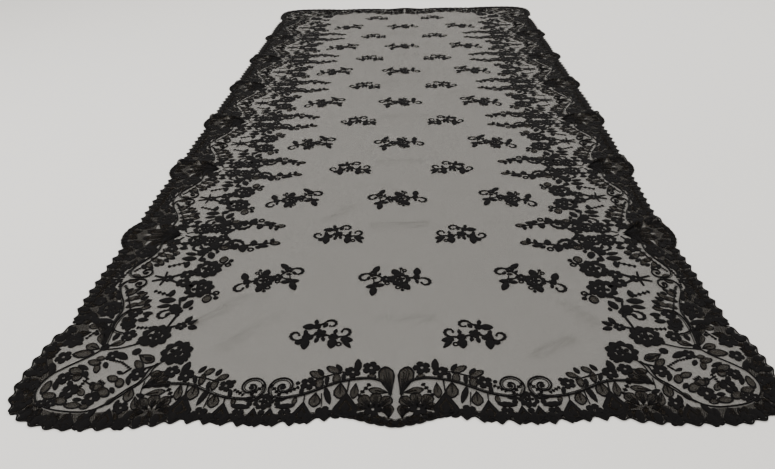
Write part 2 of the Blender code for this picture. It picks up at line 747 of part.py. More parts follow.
def build_sprigs():
    """Sprigs on the ground, in rows of two and rows of three."""
    pair = placed(SPRIG_OF_TWO)
    three = placed(SPRIG_OF_THREE)
    (middle_x, middle_y), (outer_x, outer_y) = MIDDLE_SPRIG, OUTER_SPRIG
    for row in range(ROWS):
        y = (row - MIDDLE_ROW) * PITCH
        if row % 2 == 0:
            sprigs = {"left": moved(pair, -SPRIG_OF_TWO_X, y),
                      "right": moved(pair, SPRIG_OF_TWO_X, y, flip_x=True)}
        else:
            sprigs = {"left": moved(three, -outer_x, y + outer_y, flip_x=True, turn=OUTER_SPRIG_TURN),
                      "middle": moved(three, middle_x, y + middle_y),
                      "right": moved(three, outer_x, y + outer_y, turn=OUTER_SPRIG_TURN)}
        for place, shapes in sprigs.items():
            trim(f"sprig_{row + 1:02d}_{place}", shapes, SPRIG_POINTS)


def build_sprays():
    """Flower sprays inside the border: seven along each side, and two in the middle of each end.

    The first and last ones of a side turn the corner: there the roses of the corner and the spray
    along the end take the place of the branch that reaches into the ground.
    """
    half = placed(SIDE_SPRAY + SIDE_BRANCH)
    short = placed(SIDE_SPRAY)
    twig = placed(SIDE_TWIG)
    end = placed(END_SPRAY)
    corner = moved(placed(CORNER_SPRAY), 0, -SIDE_END_ROW)
    for number in range(1, ROWS, 2):
        y = (number - MIDDLE_ROW) * PITCH
        near = moved(short + moved(corner, 0, 0, flip_y=True), 0, 0, flip_y=True)
        near = near if number == 1 else moved(half, 0, 0, flip_y=True)
        far = short + moved(corner, 0, 0, flip_y=True) if number == ROWS - 2 else half
        for side, flip in (("right", False), ("left", True)):
            shapes = moved(near + far + twig, 0, y, flip_x=flip)
            trim(f"spray_{number + 1:02d}_{side}", shapes, SPRAY_POINTS)
    for name, flip_x, flip_y in (("near_right", False, False), ("near_left", True, False),
                                 ("far_right", False, True), ("far_left", True, True)):
        y = HALF_LENGTH if flip_y else -HALF_LENGTH
        trim("spray_" + name, moved(end, 0, y, flip_x, flip_y), END_SPRAY_POINTS)


clear_scene()
build_net()
build_borders()
build_sprigs()
build_sprays()
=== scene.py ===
"""Looks of a black lace mantilla that lies flat on a pale floor.

The frame is in metres with +Z up: +X runs across the cloth, +Y along it, and the origin is on the floor
under its middle. The net is one thin shell over the whole cloth. The lace on it is made of small closed
motifs, such as leaves, flowers, petals and curls, and of cords. Short tables in millimetres place the
motifs, and a table serves for every repeat of its stretch of the lace.
"""

import logging
import math
from dataclasses import dataclass, field
from enum import Enum
from typing import Sequence

import bpy
import numpy as np
from mathutils import Matrix, Vector


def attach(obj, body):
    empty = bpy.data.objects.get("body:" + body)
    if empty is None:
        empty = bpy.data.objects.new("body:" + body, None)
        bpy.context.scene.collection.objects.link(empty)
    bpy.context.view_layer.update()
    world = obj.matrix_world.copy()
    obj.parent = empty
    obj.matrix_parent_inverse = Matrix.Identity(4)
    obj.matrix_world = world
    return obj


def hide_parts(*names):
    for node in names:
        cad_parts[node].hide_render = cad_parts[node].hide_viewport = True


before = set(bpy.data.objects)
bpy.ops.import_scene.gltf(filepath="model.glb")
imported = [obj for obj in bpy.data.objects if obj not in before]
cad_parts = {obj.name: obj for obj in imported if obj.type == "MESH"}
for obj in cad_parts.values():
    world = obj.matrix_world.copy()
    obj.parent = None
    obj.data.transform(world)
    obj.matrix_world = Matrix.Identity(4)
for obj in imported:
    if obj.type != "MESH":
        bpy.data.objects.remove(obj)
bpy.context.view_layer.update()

LOG = logging.getLogger("mantilla")
MM = 0.001


class Kind(Enum):
    """The motifs that the lace is made of, by their numbers."""

    LEAF, OVAL, PETAL, PALM, DIAMOND, SHELL, FLOWER, ROSE, RING, DOT, CURL, BEADS, STEM = range(13)


class Stitch(Enum):
    """How a surface is worked, by the number of its material slot."""

    CLOSE, OPEN, GROUND = range(3)


class Side(Enum):
    """The two long sides, by the sign of their X."""

    RIGHT, LEFT = 1, -1


class End(Enum):
    """The two ends, by the sign of their Y."""

    NEAR, FAR = -1, 1


ROUND = {Kind.FLOWER, Kind.ROSE, Kind.RING, Kind.DOT, Kind.CURL}
Table = dict[Kind, list[tuple[float, ...]]]
Path = tuple[tuple[float, float], ...]

# Columns of a motif's row, which gives its kind, x, y, turn, length, width and hand
KIND, X, Y, TURN, HAND = 0, 1, 2, 3, 6

# Layout, as in the solids: rows of sprigs, the outer size, and the fans of the long sides
PITCH = 0.1417
ROWS = 15
MIDDLE_ROW = (ROWS - 1) / 2
HALF_WIDTH = 0.5490
HALF_LENGTH = MIDDLE_ROW * PITCH + 0.1825
FANS = PITCH * np.array([-5, -3, -1, 1, 3, 5])
FAN_REACH = 0.0470
END_FAN_REACH = 0.0830
END_REACH = 0.2870
SIDE_START = HALF_LENGTH - 0.2040

# Edge lines that the scallops stand on
SIDE_EDGE = MM * np.array([
    # distance from the fan's middle, distance from the middle line
    (0, 547), (20, 544), (35, 537), (47, 529), (90, 531.5), (141.7, 532), (193.4, 531.5), (236.4, 529),
    (262, 520),
])
END_EDGE = MM * np.array([
    # distance from the middle line, distance in from the end
    (0, 5), (30, 11), (52, 18.5), (67, 22.5), (83, 25.5), (110, 19.5), (143, 15), (182.3, 14), (220, 15.5),
    (255, 18.5), (287, 20.5),
])
CORNER_EDGE = MM * np.array([
    # distance from the middle line, distance in from the end
    (287, 20.5), (330, 12), (370, 8), (410, 7), (460, 8.6), (501, 20), (530, 41.5), (541.5, 68), (544.5, 101),
    (542, 145), (536.5, 176), (520, 204),
])
CORNER_TURN = 6

# Inner lines of the close ground along the edge
SIDE_FILL = MM * np.array([
    # distance from the fan's middle, distance from the middle line
    (0, 506), (4, 496), (10, 490), (36, 492), (44, 466), (56, 464), (70, 469), (86, 479), (98, 490),
    (110, 495), (123, 496), (135, 506), (141.7, 512), (148.4, 506), (160.4, 496), (173.4, 495), (185.4, 490),
    (197.4, 479), (213.4, 471), (229, 474), (240, 486), (262, 499),
])
END_FILL = MM * np.array([
    # distance from the middle line, distance in from the end
    (0, 18), (20, 24), (50, 27), (67, 32), (100, 32), (182.3, 28), (260, 31), (287, 33),
])
CORNER_FILL = MM * np.array([
    # distance from the middle line, distance in from the end
    (287, 33), (310, 36), (335, 40), (365, 38), (390, 36), (430, 32), (470, 35), (498, 48), (511, 68),
    (512, 88), (506, 102), (506, 116), (518, 128), (523, 144), (516, 160), (499, 170), (492, 188), (499, 204),
])

# How the cloth lies: how far its right side is drawn in, and how far its near end is askew
DRAWN_IN = MM * np.array([
    # distance along the cloth, how far the edge is drawn in
    (-1200, 10), (-980, 10), (-900, 20), (-600, 22), (-450, 12), (-250, 3), (0, 0),
])
DRAWN_FROM = 0.440
END_SKEW = 0.0115
SKEW_FROM = 0.950
SKEW_OVER = 0.180

# Creases and puckers, as in the solids
RIDGES = MM * np.array([
    # x0, y0, x1, y1, height at 0, height at 1, half width
    (-30, -958, 50, -956, 1.2, 1.6, 10), (-52, -676, 54, -673, 2.4, 3, 12),
    (176, -672, 214, -672, 1.4, 1, 8), (-50, -392, 45, -390, 1.4, 2, 11),
    (-55, -111, 56, -106, 2.8, 3.2, 13), (-48, 174, 55, 177, 2, 2.6, 12), (-54, 458, 50, 460, 1.6, 1.2, 10),
    (-50, 742, 52, 744, 2.4, 2, 12), (-322, -968, -262, -902, 3.8, 1.6, 11),
    (-262, -1020, -205, -955, 2.4, 1.2, 11), (312, -965, 270, -915, 3, 1.4, 10),
    (205, -1036, 262, -1004, 2, 2.6, 10), (-150, -655, -98, -602, 1.6, 2.2, 9),
    (112, 55, 190, 88, 1.8, 2.2, 10), (-318, 968, -266, 905, 2.6, 1.4, 10),
    (316, 970, 262, 906, 3.2, 1.6, 11), (462, -672, 545, -655, 3, 11, 16),
    (465, -388, 562, -380, 2.5, 11, 15), (464, -112, 562, -106, 2, 10, 15), (466, 178, 562, 186, 2, 8, 14),
    (466, 746, 562, 752, 2, 7, 14), (-464, -392, -562, -386, 2.5, 10, 15),
    (-464, -108, -562, -102, 2.5, 11, 15), (-466, 180, -562, 184, 2, 8, 14),
    (-466, 462, -562, 468, 2, 8, 14),
])

# The tables of motifs give x, y, turn in degrees, length and width. Round motifs have no width, and a curl's
# last number is its hand. In the border, x is the distance from the middle line, and y is the distance from a
# row of three, or for the end and the corner the distance in from the end.

# Small sprig for the rows of two, the left one of the pair, about its own middle
SPRIG_OF_TWO = {
    Kind.FLOWER: [(-5, 1, 0, 21), (-12, 18, 0, 15), (-26, -6, 20, 16), (16, -6.5, 10, 16)],
    Kind.STEM: [(-5, 1, 112, 20, 4), (-10, 19, 30, 12, 3.6), (-5, 1, 200, 24, 3.6), (-27, -10, 205, 13, 4),
        (-5, 1, -20, 23, 3.6), (16, -7, 4, 16, 4)],
    Kind.LEAF: [(-14, 17, 182, 22, 15), (-13.5, 22, 96, 12, 8), (-2, 15, 58, 12, 8), (-26.5, -8, 271, 26, 15),
        (-27, -2, 104, 12, 8), (-15, -5, 228, 11, 7), (-8, -7, 258, 13, 8), (-1, -6, 288, 11, 7),
        (15.8, -8, 268, 24, 16), (17, 0, 76, 12, 7), (27, -11, -8, 21, 14), (30, -11, -52, 25, 9)],
    Kind.CURL: [(-1, 25, 52, 18, -1), (-38, -14, 176, 18, -1), (30, -6, 12, 18, 1)],
    Kind.DOT: [(-37, -18, 0, 12)],
    Kind.RING: [(26, -22, 0, 10)],
}

# Larger sprig for the rows of three, about its rose
SPRIG_OF_THREE = {
    Kind.ROSE: [(0, 0, 15, 39)],
    Kind.LEAF: [(-3, 13, 122, 20, 16), (6, -12, -56, 20, 15), (30, 11, 88, 24, 15), (29, 0, -80, 12, 7),
        (-38, 9, 70, 11, 6), (-40, 5, 196, 11, 6), (-47, 19, 66, 23, 13), (-54, 9, -100, 11, 7),
        (-42, -17, 196, 18, 12), (-44, -20, 264, 26, 14), (-42, -18, 12, 16, 11), (-36, -7, 214, 10, 6)],
    Kind.STEM: [(0.5, 14, 87, 17, 3), (4, 16, 65, 8, 3), (2, -16, -78, 13, 3), (14, 4, 4, 20, 4.4),
        (-28, 3, 148, 24, 3), (-28, 1, 225, 24, 3), (-44, -15, 98, 14, 3)],
    Kind.DOT: [(1.5, 32, 0, 7), (4.6, -29.5, 0, 7)],
    Kind.RING: [(8, 26, 0, 9), (-3, -21.7, 0, 11), (-22, -11, 0, 10)],
    Kind.FLOWER: [(29, 6, 0, 16), (-24, 1, 0, 21), (-48, 16, 0, 18), (-43, -16, 0, 15)],
    Kind.CURL: [(36, 4, 4, 21, -1), (-54, 16, 174, 21, 1)],
}

# Side spray: one half, outwards and away from a row of three, its branch, and the twig on the row
SIDE_SPRAY = {
    Kind.ROSE: [(346, 28, 10, 54)],
    Kind.FLOWER: [(379, 12, 0, 28), (366, 88, 0, 22)],
    Kind.STEM: [(372, 16, 150, 16, 7.1), (324, 43, 176, 12, 4.3), (315, 45, 118, 10, 3.7),
        (350, 42, 46, 30, 6), (371, 54, 104, 48, 4.2)],
    Kind.OVAL: [(325, 45, 92, 23, 18)],
    Kind.DOT: [(310, 54, 0, 10)],
    Kind.RING: [(313, 41, 0, 13), (365, 57, 0, 13)],
    Kind.BEADS: [(393, 47, -22, 32, 9.2)],
    Kind.LEAF: [(390, 52, -94, 21, 12), (376, 60, 2, 30, 16), (357, 82, 247, 25, 15), (377, 70, 114, 26, 20),
        (376, 92, 60, 11, 8), (380, 73, 12, 24, 11), (346, 86, 250, 10, 6.7)],
    Kind.CURL: [(379, 86, 4, 21, 1)],
}
SIDE_BRANCH = {
    Kind.ROSE: [(393, 121.3, 30, 42), (366, 119, 0, 37)],
    Kind.LEAF: [(358, 112, -114, 28, 17), (344, 88, 265, 11, 8), (320, 106, 62, 15, 9.4),
        (303, 106, 251, 27, 17), (280, 102, 85, 21, 15), (275, 101, 218, 13, 9.4), (271, 103, 186, 22, 13),
        (260, 106, 98, 18, 8.5), (247, 114, 96, 14, 9.5)],
    Kind.STEM: [(359, 90, 88, 25, 7.1), (350, 118, 160, 18, 3.7), (342, 101, 262, 12, 4.3),
        (352, 106, 188, 50, 4.8), (302, 102, 170, 62, 4.3), (404, 130, 25, 20, 2.5)],
    Kind.FLOWER: [(345, 131, 0, 24), (315, 100, 0, 23)],
    Kind.RING: [(346, 115, 0, 16), (282, 90, 0, 14)],
    Kind.DOT: [(333, 125, 0, 10), (333, 107, 0, 10), (292, 97, 0, 10)],
    Kind.OVAL: [(343, 95, 181, 20, 16), (251, 112, 184, 23, 15)],
    Kind.CURL: [(299, 104, 70, 31, -1)],
}
SIDE_TWIG = {
    Kind.FLOWER: [(411, 0, 0, 21)],
    Kind.STEM: [(416, 1, 18, 22, 5), (416, -1, -18, 22, 5), (416, 2, 82, 18, 4.4), (416, -2, -82, 18, 4.4),
        (406, 3, 150, 20, 5.5), (406, -3, -150, 20, 5.5)],
}

# Fern along the scrolling stem of the side border, on its inner side
SIDE_FERN = {
    Kind.FLOWER: [(437, 114, 10, 28), (434, 92, 0, 26)],
    Kind.LEAF: [(421, 95, 184, 18, 11), (449, 121, -113, 16, 10), (426, 78, 225, 12, 8.5),
        (438, 60, 222, 16, 8.5), (455, 36, 235, 12, 7.4), (424, 110, 180, 19, 11), (472, 42, 235, 18, 10),
        (428, 68, 222, 14, 8.5), (451, 44, 215, 14, 8.5)],
    Kind.STEM: [(424, 133, -62, 24, 3.6), (436, 104, -64, 78, 3)],
    Kind.OVAL: [(456, 80, 214, 22, 13), (440, 76, 222, 27, 14), (464, 63, 212, 26, 13),
        (449, 60, 234, 27, 13), (467, 50, 233, 24, 14), (449, 104, 150, 20, 12), (431, 84, 205, 20, 12),
        (452, 92, 200, 19, 12)],
    Kind.DOT: [(412, 101, 0, 9)],
    Kind.BEADS: [(480, 20, 126, 18, 7)],
}

# Dense lace of the side border, between its scrolling stem and its edge
SIDE_OUTER = {
    Kind.PALM: [(430, 139, -8, 76, 24), (433, 138, -33, 66, 22)],
    Kind.PETAL: [(476, 129, -94, 29, 18), (443, 136, -64, 31, 15), (500, 118, -14, 25, 15),
        (514, 128, 22, 24, 16), (506, 92, -12, 24, 18), (491, 60, -98, 27, 17), (519, 80, -100, 27, 16),
        (519, 52, -94, 24, 16), (518, 28, -98, 27, 17)],
    Kind.LEAF: [(456, 134, -76, 23, 10), (466, 108, -60, 19, 9), (474, 60, -62, 21, 10),
        (488, 40, 190, 9.3, 6.7), (508, 22, 200, 13, 7)],
    Kind.ROSE: [(480, 83, 12, 43)],
    Kind.FLOWER: [(504, 103, 10, 22), (520, 112, 0, 21), (505, 64, 0, 24), (500, 34, 12, 23),
        (501, 8, 0, 19)],
    Kind.BEADS: [(489, 25, -80, 24, 6)],
    Kind.OVAL: [(478, 12, -150, 19, 12), (466, 98, -80, 21, 12)],
    Kind.DOT: [(494, 48, 0, 9), (470, 70, 0, 8)],
}
SIDE_STEM = (
    (434, 141), (449, 136), (458, 124), (458, 104), (457, 88), (461, 75), (467, 61), (475, 48), (482, 35),
    (485, 22), (481, 10), (472, 3),
)

# End lace, right half: over the stem, under the stem, and the fan in the middle
END_UPPER = {
    Kind.FLOWER: [(37, 111, 0, 28), (63, 103, 20, 24), (125, 82, 0, 25)],
    Kind.LEAF: [(56, 104, 88, 26, 12), (79, 105, 55, 17, 8.3), (76, 102, -92, 17, 7.1),
        (105, 97, 52, 16, 8.3), (99, 98, -90, 20, 7.1), (132, 76, -85, 16, 7.1)],
    Kind.DOT: [(72, 108, 0, 7), (140, 83, 0, 7)],
    Kind.STEM: [(66, 104, -6, 16, 1.8), (80, 102, -18, 26, 1.8), (103, 95, -30, 24, 1.8)],
    Kind.OVAL: [(80, 100, 32, 27, 13), (86, 102, -92, 22, 13), (103, 91, 30, 27, 14), (109, 94, -88, 23, 14),
        (42, 96, 190, 14, 8.5)],
    Kind.BEADS: [(137, 76, -32, 21, 7), (178, 80, -130, 25, 7)],
}
END_LOWER = {
    Kind.PETAL: [(10, 64, 12, 30, 13), (57, 83, -86, 30, 13), (79, 84, -92, 31, 20), (112, 66, -90, 27, 18)],
    Kind.BEADS: [(37, 81, -57, 28, 8)],
    Kind.STEM: [(67, 86, -86, 24, 2.2), (104, 64, -96, 24, 1.6), (127, 60, -90, 14, 1.8)],
    Kind.DIAMOND: [(69, 66, -91, 46, 35), (127, 50, -90, 39, 29), (171, 40, -90, 32, 22)],
    Kind.LEAF: [(100, 75, -107, 33, 10), (138, 43, -6, 28, 10), (152, 55, -10, 19, 8), (88, 26, 200, 14, 8),
        (109, 26, -20, 12, 8)],
    Kind.FLOWER: [(98, 30, 0, 25), (150, 27, 10, 23)],
    Kind.OVAL: [(139, 58, -84, 15, 8)],
    Kind.DOT: [(163, 46, 0, 9)],
}
END_MIDDLE = {
    Kind.PALM: [(8, 61, 80, 54, 25), (25, 37, 134, 27, 19), (30, 38, 98, 27, 18), (35, 37, 60, 27, 19),
        (39, 35, 22, 18, 15), (22, 33, 178, 17, 15), (9, 19, 88, 24, 16), (14, 23, -58, 15, 12)],
    Kind.PETAL: [(37, 30, -34, 18, 14), (28, 29, -104, 17, 14), (44, 28, -30, 16, 12)],
    Kind.FLOWER: [(31, 35, 0, 27)],
}
END_STEM = (
    (9, 60), (11, 72), (18, 82), (30, 88), (44, 90), (62, 88), (82, 83), (102, 74), (122, 64), (140, 58),
    (158, 55), (172, 59),
)
END_VEIN = ((4, 100), (4.5, 80), (7, 62), (9, 52))

# Corner: its roses, the sprays inside its loop, and the dense lace round that
CORNER_ROSES = {
    Kind.ROSE: [(380, 178, 0, 51), (335, 143, 20, 51)],
    Kind.FLOWER: [(396, 168, 0, 23), (344, 132, 0, 22), (323, 129, 0, 21), (347, 200, 0, 20),
        (432, 200, 10, 24), (423, 179, 0, 26), (329, 106, 0, 25), (306, 98, 0, 25), (242, 79, 0, 23)],
    Kind.LEAF: [(343, 206, 112, 19, 11), (338, 204, 150, 18, 10), (336, 198, 190, 17, 11),
        (441, 184, -80, 17, 10), (312, 101, 98, 25, 13), (297, 98, 60, 13, 10), (289, 103, 122, 16, 8.4),
        (293, 99, -108, 17, 7.2), (262, 97, 112, 15, 8.4), (268, 88, -92, 16, 7.2), (234, 73, -98, 16, 7.2),
        (366, 128, 20, 15, 8.4)],
    Kind.STEM: [(366, 196, 160, 14, 4.5), (360, 236, -78, 45, 4.2), (300, 98, 192, 24, 2),
        (278, 94, 200, 26, 2)],
    Kind.BEADS: [(418, 196, 182, 24, 8), (229, 72, 212, 19, 7), (187, 80, -50, 25, 7)],
    Kind.DOT: [(397, 145, 0, 15), (233, 86, 0, 8), (333, 92, 0, 8)],
    Kind.OVAL: [(342, 104, -12, 18, 14), (281, 99, 140, 19, 12), (280, 103, -90, 24, 11),
        (259, 90, 152, 19, 12), (259, 93, -88, 23, 12), (349, 79, 164, 27, 12)],
    Kind.PALM: [(362, 74, 134, 43, 26)],
}
CORNER_LOOP_FILL = {
    Kind.FLOWER: [(431, 137, 0, 22), (379, 102, 10, 27), (484, 95, 0, 25), (464, 71, 0, 28), (493, 50, 0, 17),
        (480, 50, 20, 18), (427, 58, 0, 27)],
    Kind.LEAF: [(427, 143, 211, 26, 13), (437, 125, -122, 15, 8.4), (475, 119, 203, 22, 8.4),
        (459, 108, -123, 16, 8.4), (493, 90, -115, 19, 9.1), (474, 90, -130, 14, 8.4),
        (408, 78, -130, 15, 7.8), (411, 107, 205, 12, 6.5), (391, 98, -115, 19, 7.8),
        (453, 57, 186, 15, 7.8)],
    Kind.BEADS: [(426, 128, 195, 18, 5.6), (408, 122, 214, 20, 5.4), (448, 95, -74, 17, 7.2),
        (430, 90, 210, 13, 6.6)],
    Kind.OVAL: [(392, 128, 225, 25, 13), (464, 127, 196, 24, 13), (454, 133, 190, 15, 10),
        (447, 122, -110, 20, 11), (485, 113, 203, 29, 16), (471, 105, -125, 19, 16), (501, 92, -90, 27, 14),
        (501, 66, 192, 24, 14), (479, 59, 205, 23, 15), (440, 81, 192, 24, 15), (425, 78, -140, 27, 16),
        (421, 98, 205, 21, 13), (403, 95, -118, 21, 14), (461, 47, 184, 27, 13), (438, 44, 182, 15, 11)],
    Kind.PETAL: [(392, 139, 206, 33, 18), (458, 80, -137, 25, 11)],
    Kind.STEM: [(374, 111, 158, 18, 2.9), (392, 112, -50, 14, 2.9), (471, 64, 120, 20, 2.4),
        (430, 66, 78, 22, 2.4), (438, 82, 30, 18, 2.4), (478, 100, -60, 20, 2.4)],
    Kind.DOT: [(438, 85, 0, 7)],
}
CORNER_OUTER = {
    Kind.PALM: [(452, 154, 62, 34, 18), (507, 45, -110, 24, 20), (491, 41, -86, 24, 20),
        (458, 172, 58, 46, 15), (459, 190, 36, 40, 15)],
    Kind.PETAL: [(446, 156, 155, 25, 13), (456, 150, 18, 27, 16), (486, 186, -20, 25, 16),
        (530, 162, -100, 29, 18), (474, 198, 4, 23, 15), (516, 150, -20, 23, 16), (532, 134, -96, 27, 18),
        (534, 98, -94, 27, 19), (534, 72, -100, 25, 18), (520, 46, -70, 17, 15), (458, 33, -70, 21, 15),
        (378, 80, -98, 30, 16), (374, 24, -110, 21, 16), (366, 62, -108, 27, 12)],
    Kind.OVAL: [(495, 140, 178, 35, 18), (517, 74, -96, 21, 12), (394, 60, -60, 16, 10)],
    Kind.DOT: [(450, 154, 0, 15), (476, 182, 0, 8)],
    Kind.FLOWER: [(505, 134, 10, 26), (507, 168, 0, 33), (524, 108, 0, 23), (521, 82, 10, 21),
        (518, 52, 0, 23), (470, 22, 0, 24), (419, 13, 0, 25), (378, 41, 10, 23), (366, 13, 0, 21)],
    Kind.LEAF: [(488, 160, 16, 23, 10), (520, 188, -70, 21, 11), (517, 124, -120, 23, 11),
        (508, 116, -95, 17, 9), (424, 33, -80, 17, 10), (411, 40, -62, 23, 10), (360, 36, -70, 21, 11),
        (386, 56, -80, 15, 6.7), (352, 60, 20, 15, 7.8), (460, 208, 14, 32, 12), (459, 166, 84, 40, 9),
        (484, 206, 40, 24, 13)],
    Kind.BEADS: [(478, 190, -60, 22, 6)],
    Kind.DIAMOND: [(444, 34, -90, 30, 27), (393, 41, -92, 35, 29)],
}
CORNER_LOOP = (
    (453, 148), (463, 137), (478, 125), (493, 113), (505, 101), (511, 87), (512, 73), (507, 60), (498, 50),
    (486, 43), (470, 38), (450, 35), (430, 34), (413, 39), (400, 50), (390, 64), (380, 76), (370, 86),
    (366, 98), (364, 110), (355, 122),
)
CORNER_BAND = ((406, 42), (392, 56), (380, 70), (368, 84), (361, 98), (358, 112), (351, 124))
CORNER_LINK = ((362, 88), (361, 72), (358, 58), (352, 46), (343, 38))
CORNER_TIE = ((446, 149), (424, 152), (403, 160))
CORNER_STEM = (
    (354, 76), (344, 80), (325, 82), (305, 82), (290, 79), (275, 72), (260, 65), (245, 59), (228, 55),
    (208, 54), (193, 59),
)
SIDE_STEM_END = ((452, 154), (454, 172), (456, 192), (456, 212), (452, 228), (444, 238), (434, 241))


def read(table: np.ndarray, at: np.ndarray) -> np.ndarray:
    """A table's second column where its first one has a value, straight between its rows."""
    return np.interp(at, table[:, 0], table[:, 1])


def side_line(table: np.ndarray, y: np.ndarray) -> np.ndarray:
    """Line along the right side whose table starts anew at each fan."""
    return np.stack([read(table, np.abs(y[:, None] - FANS).min(1)), y], -1)


def end_line(table: np.ndarray, x: np.ndarray) -> np.ndarray:
    """Line along the right half of the near end."""
    return np.stack([x, read(table, x) - HALF_LENGTH], -1)


def laid(points: np.ndarray) -> np.ndarray:
    """Where points of the even pattern lie on the floor.

    The right side moves in by a share that grows with X, up to a little past the edge. The near end moves
    along Y in step with X.

    Args:
        points: x and y in metres, in the last axis.

    Returns:
        The moved points, in the same layout.
    """
    x, y, most = points[..., 0], points[..., 1], 1.2
    share = np.clip((x - DRAWN_FROM) / (HALF_WIDTH - DRAWN_FROM), 0.0, most)
    t = np.clip((-y - SKEW_FROM) / SKEW_OVER, 0.0, 1.0)
    return np.stack([x - share * read(DRAWN_IN, y), y + END_SKEW * x / HALF_WIDTH * t * t * (3 - 2 * t)], -1)


def lift(points: np.ndarray) -> np.ndarray:
    """Height of the cloth over the floor: the highest ridge there.

    A ridge's section is (1 - s^2)^2 over its half width, and it fades out past its two ends.

    Args:
        points: x and y in metres, in the last axis.

    Returns:
        The heights in metres.
    """
    height = np.zeros(points.shape[:-1])
    for x0, y0, x1, y1, start, end, half in RIDGES:
        length = math.hypot(x1 - x0, y1 - y0)
        ux, uy = (x1 - x0) / length, (y1 - y0) / length
        dx, dy = points[..., 0] - x0, points[..., 1] - y0
        run = dx * ux + dy * uy
        past = np.maximum(0.0, np.maximum(-run, run - length))
        s = np.minimum(np.hypot(dx * uy - dy * ux, past) / half, 1.0)
        height = np.maximum(height, (start + (end - start) * np.clip(run / length, 0, 1)) * (1 - s * s) ** 2)
    return height


def steepness(points: np.ndarray) -> np.ndarray:
    """How steep the creases are at points: the height's slope, as a share of 0.35 and at most 1.

    Args:
        points: x and y in metres, in the last axis.

    Returns:
        The shares.
    """
    step, full = 0.001, 0.35
    rise = [(lift(points + move) - lift(points - move)) / (2 * step) for move in ((step, 0.0), (0.0, step))]
    return np.minimum(np.hypot(*rise) / full, 1.0)


def smooth(points: Sequence[Sequence[float]], step: float = 5.0) -> np.ndarray:
    """A smooth curve through points (Catmull-Rom), sampled about every step.

    Args:
        points: x and y of the points that the curve passes.
        step: distance between samples, in the points' unit.

    Returns:
        An array of x and y.
    """
    given = np.asarray(points, float)
    counts = np.maximum(1, np.round(np.hypot(*np.diff(given, axis=0).T) / step)).astype(int)
    index = np.repeat(np.arange(len(counts)), counts)
    t = np.concatenate([np.arange(n) / n for n in counts])[:, None]
    a, b = given[np.maximum(index - 1, 0)], given[index]
    c, d = given[index + 1], given[np.minimum(index + 2, len(given) - 1)]
    curve = 0.5 * (2 * b + (c - a) * t + (2 * a - 5 * b + 4 * c - d) * t ** 2
                   + (3 * b - a - 3 * c + d) * t ** 3)
    return np.vstack([curve, given[-1:]])


def to_right(tangent: np.ndarray) -> np.ndarray:
    """Unit directions to the right of a line's tangents."""
    return np.stack([tangent[:, 1], -tangent[:, 0]], -1) / np.maximum(np.hypot(*tangent.T), 1e-9)[:, None]


def run_of(line: np.ndarray) -> np.ndarray:
    """Length of a line up to each of its points."""
    return np.concatenate([[0.0], np.cumsum(np.hypot(*np.diff(line, axis=0).T))])


def at_shares(line: np.ndarray, share: np.ndarray, values: np.ndarray) -> np.ndarray:
    """What two values that go with a line's points come to at shares of its length."""
    run = run_of(line)
    return np.stack([np.interp(share * run[-1], run, values[:, k]) for k in (0, 1)], -1)


def walls(count: int, low: np.ndarray, high: np.ndarray) -> np.ndarray:
    """Bands of triangles between rings of points, two triangles for each side of a ring.

    Args:
        count: number of points in a ring.
        low: number of the first point of each band's lower ring.
        high: the same for its upper ring.

    Returns:
        The triangles, band by band, which face outwards where the rings run anticlockwise.
    """
    i = np.arange(count)
    j, a, b = (i + 1) % count, low[:, None], high[:, None]
    return np.stack([np.stack([a + i, a + j, b + j], -1), np.stack([a + i, b + j, b + i], -1)],
                    axis=1).reshape(-1, 3)


def cap(start: int, count: int, middle: int) -> np.ndarray:
    """Triangles from a ring of points to one in its middle, facing up where the ring runs anticlockwise."""
    i = np.arange(count)
    return np.column_stack([start + i, start + (i + 1) % count, np.full(count, middle)])


@dataclass(frozen=True)
class Form:
    """A closed triangle mesh.

    Attributes:
        points: in metres.
        faces: three point numbers each, anticlockwise from outside.
        stitches: each face's stitch, by its number.
    """

    points: np.ndarray
    faces: np.ndarray
    stitches: np.ndarray

    @classmethod
    def of(cls, points: np.ndarray, faces: np.ndarray, stitch: Stitch = Stitch.CLOSE) -> "Form":
        """A form in one stitch."""
        return cls(points, faces, np.full(len(faces), stitch.value))

    @staticmethod
    def joined(forms: Sequence["Form"]) -> "Form":
        """Several forms as one."""
        starts = np.cumsum([0] + [len(form.points) for form in forms[:-1]])
        return Form(np.vstack([form.points for form in forms]),
                    np.vstack([form.faces + start for form, start in zip(forms, starts)]),
                    np.concatenate([form.stitches for form in forms]))

    def scaled(self, length: float, width: float, x: float = 0.0, y: float = 0.0,
               turn: float = 0.0) -> "Form":
        """The form stretched in plan, then turned, then moved.

        Args:
            length: factor along X.
            width: factor along Y.
            x: move along X.
            y: move along Y.
            turn: turn in degrees.

        Returns:
            The new form.
        """
        c, s = math.cos(math.radians(turn)), math.sin(math.radians(turn))
        px, py = self.points[:, 0] * length, self.points[:, 1] * width
        points = np.column_stack([x + c * px - s * py, y + s * px + c * py, self.points[:, 2]])
        return Form(points, self.faces, self.stitches)


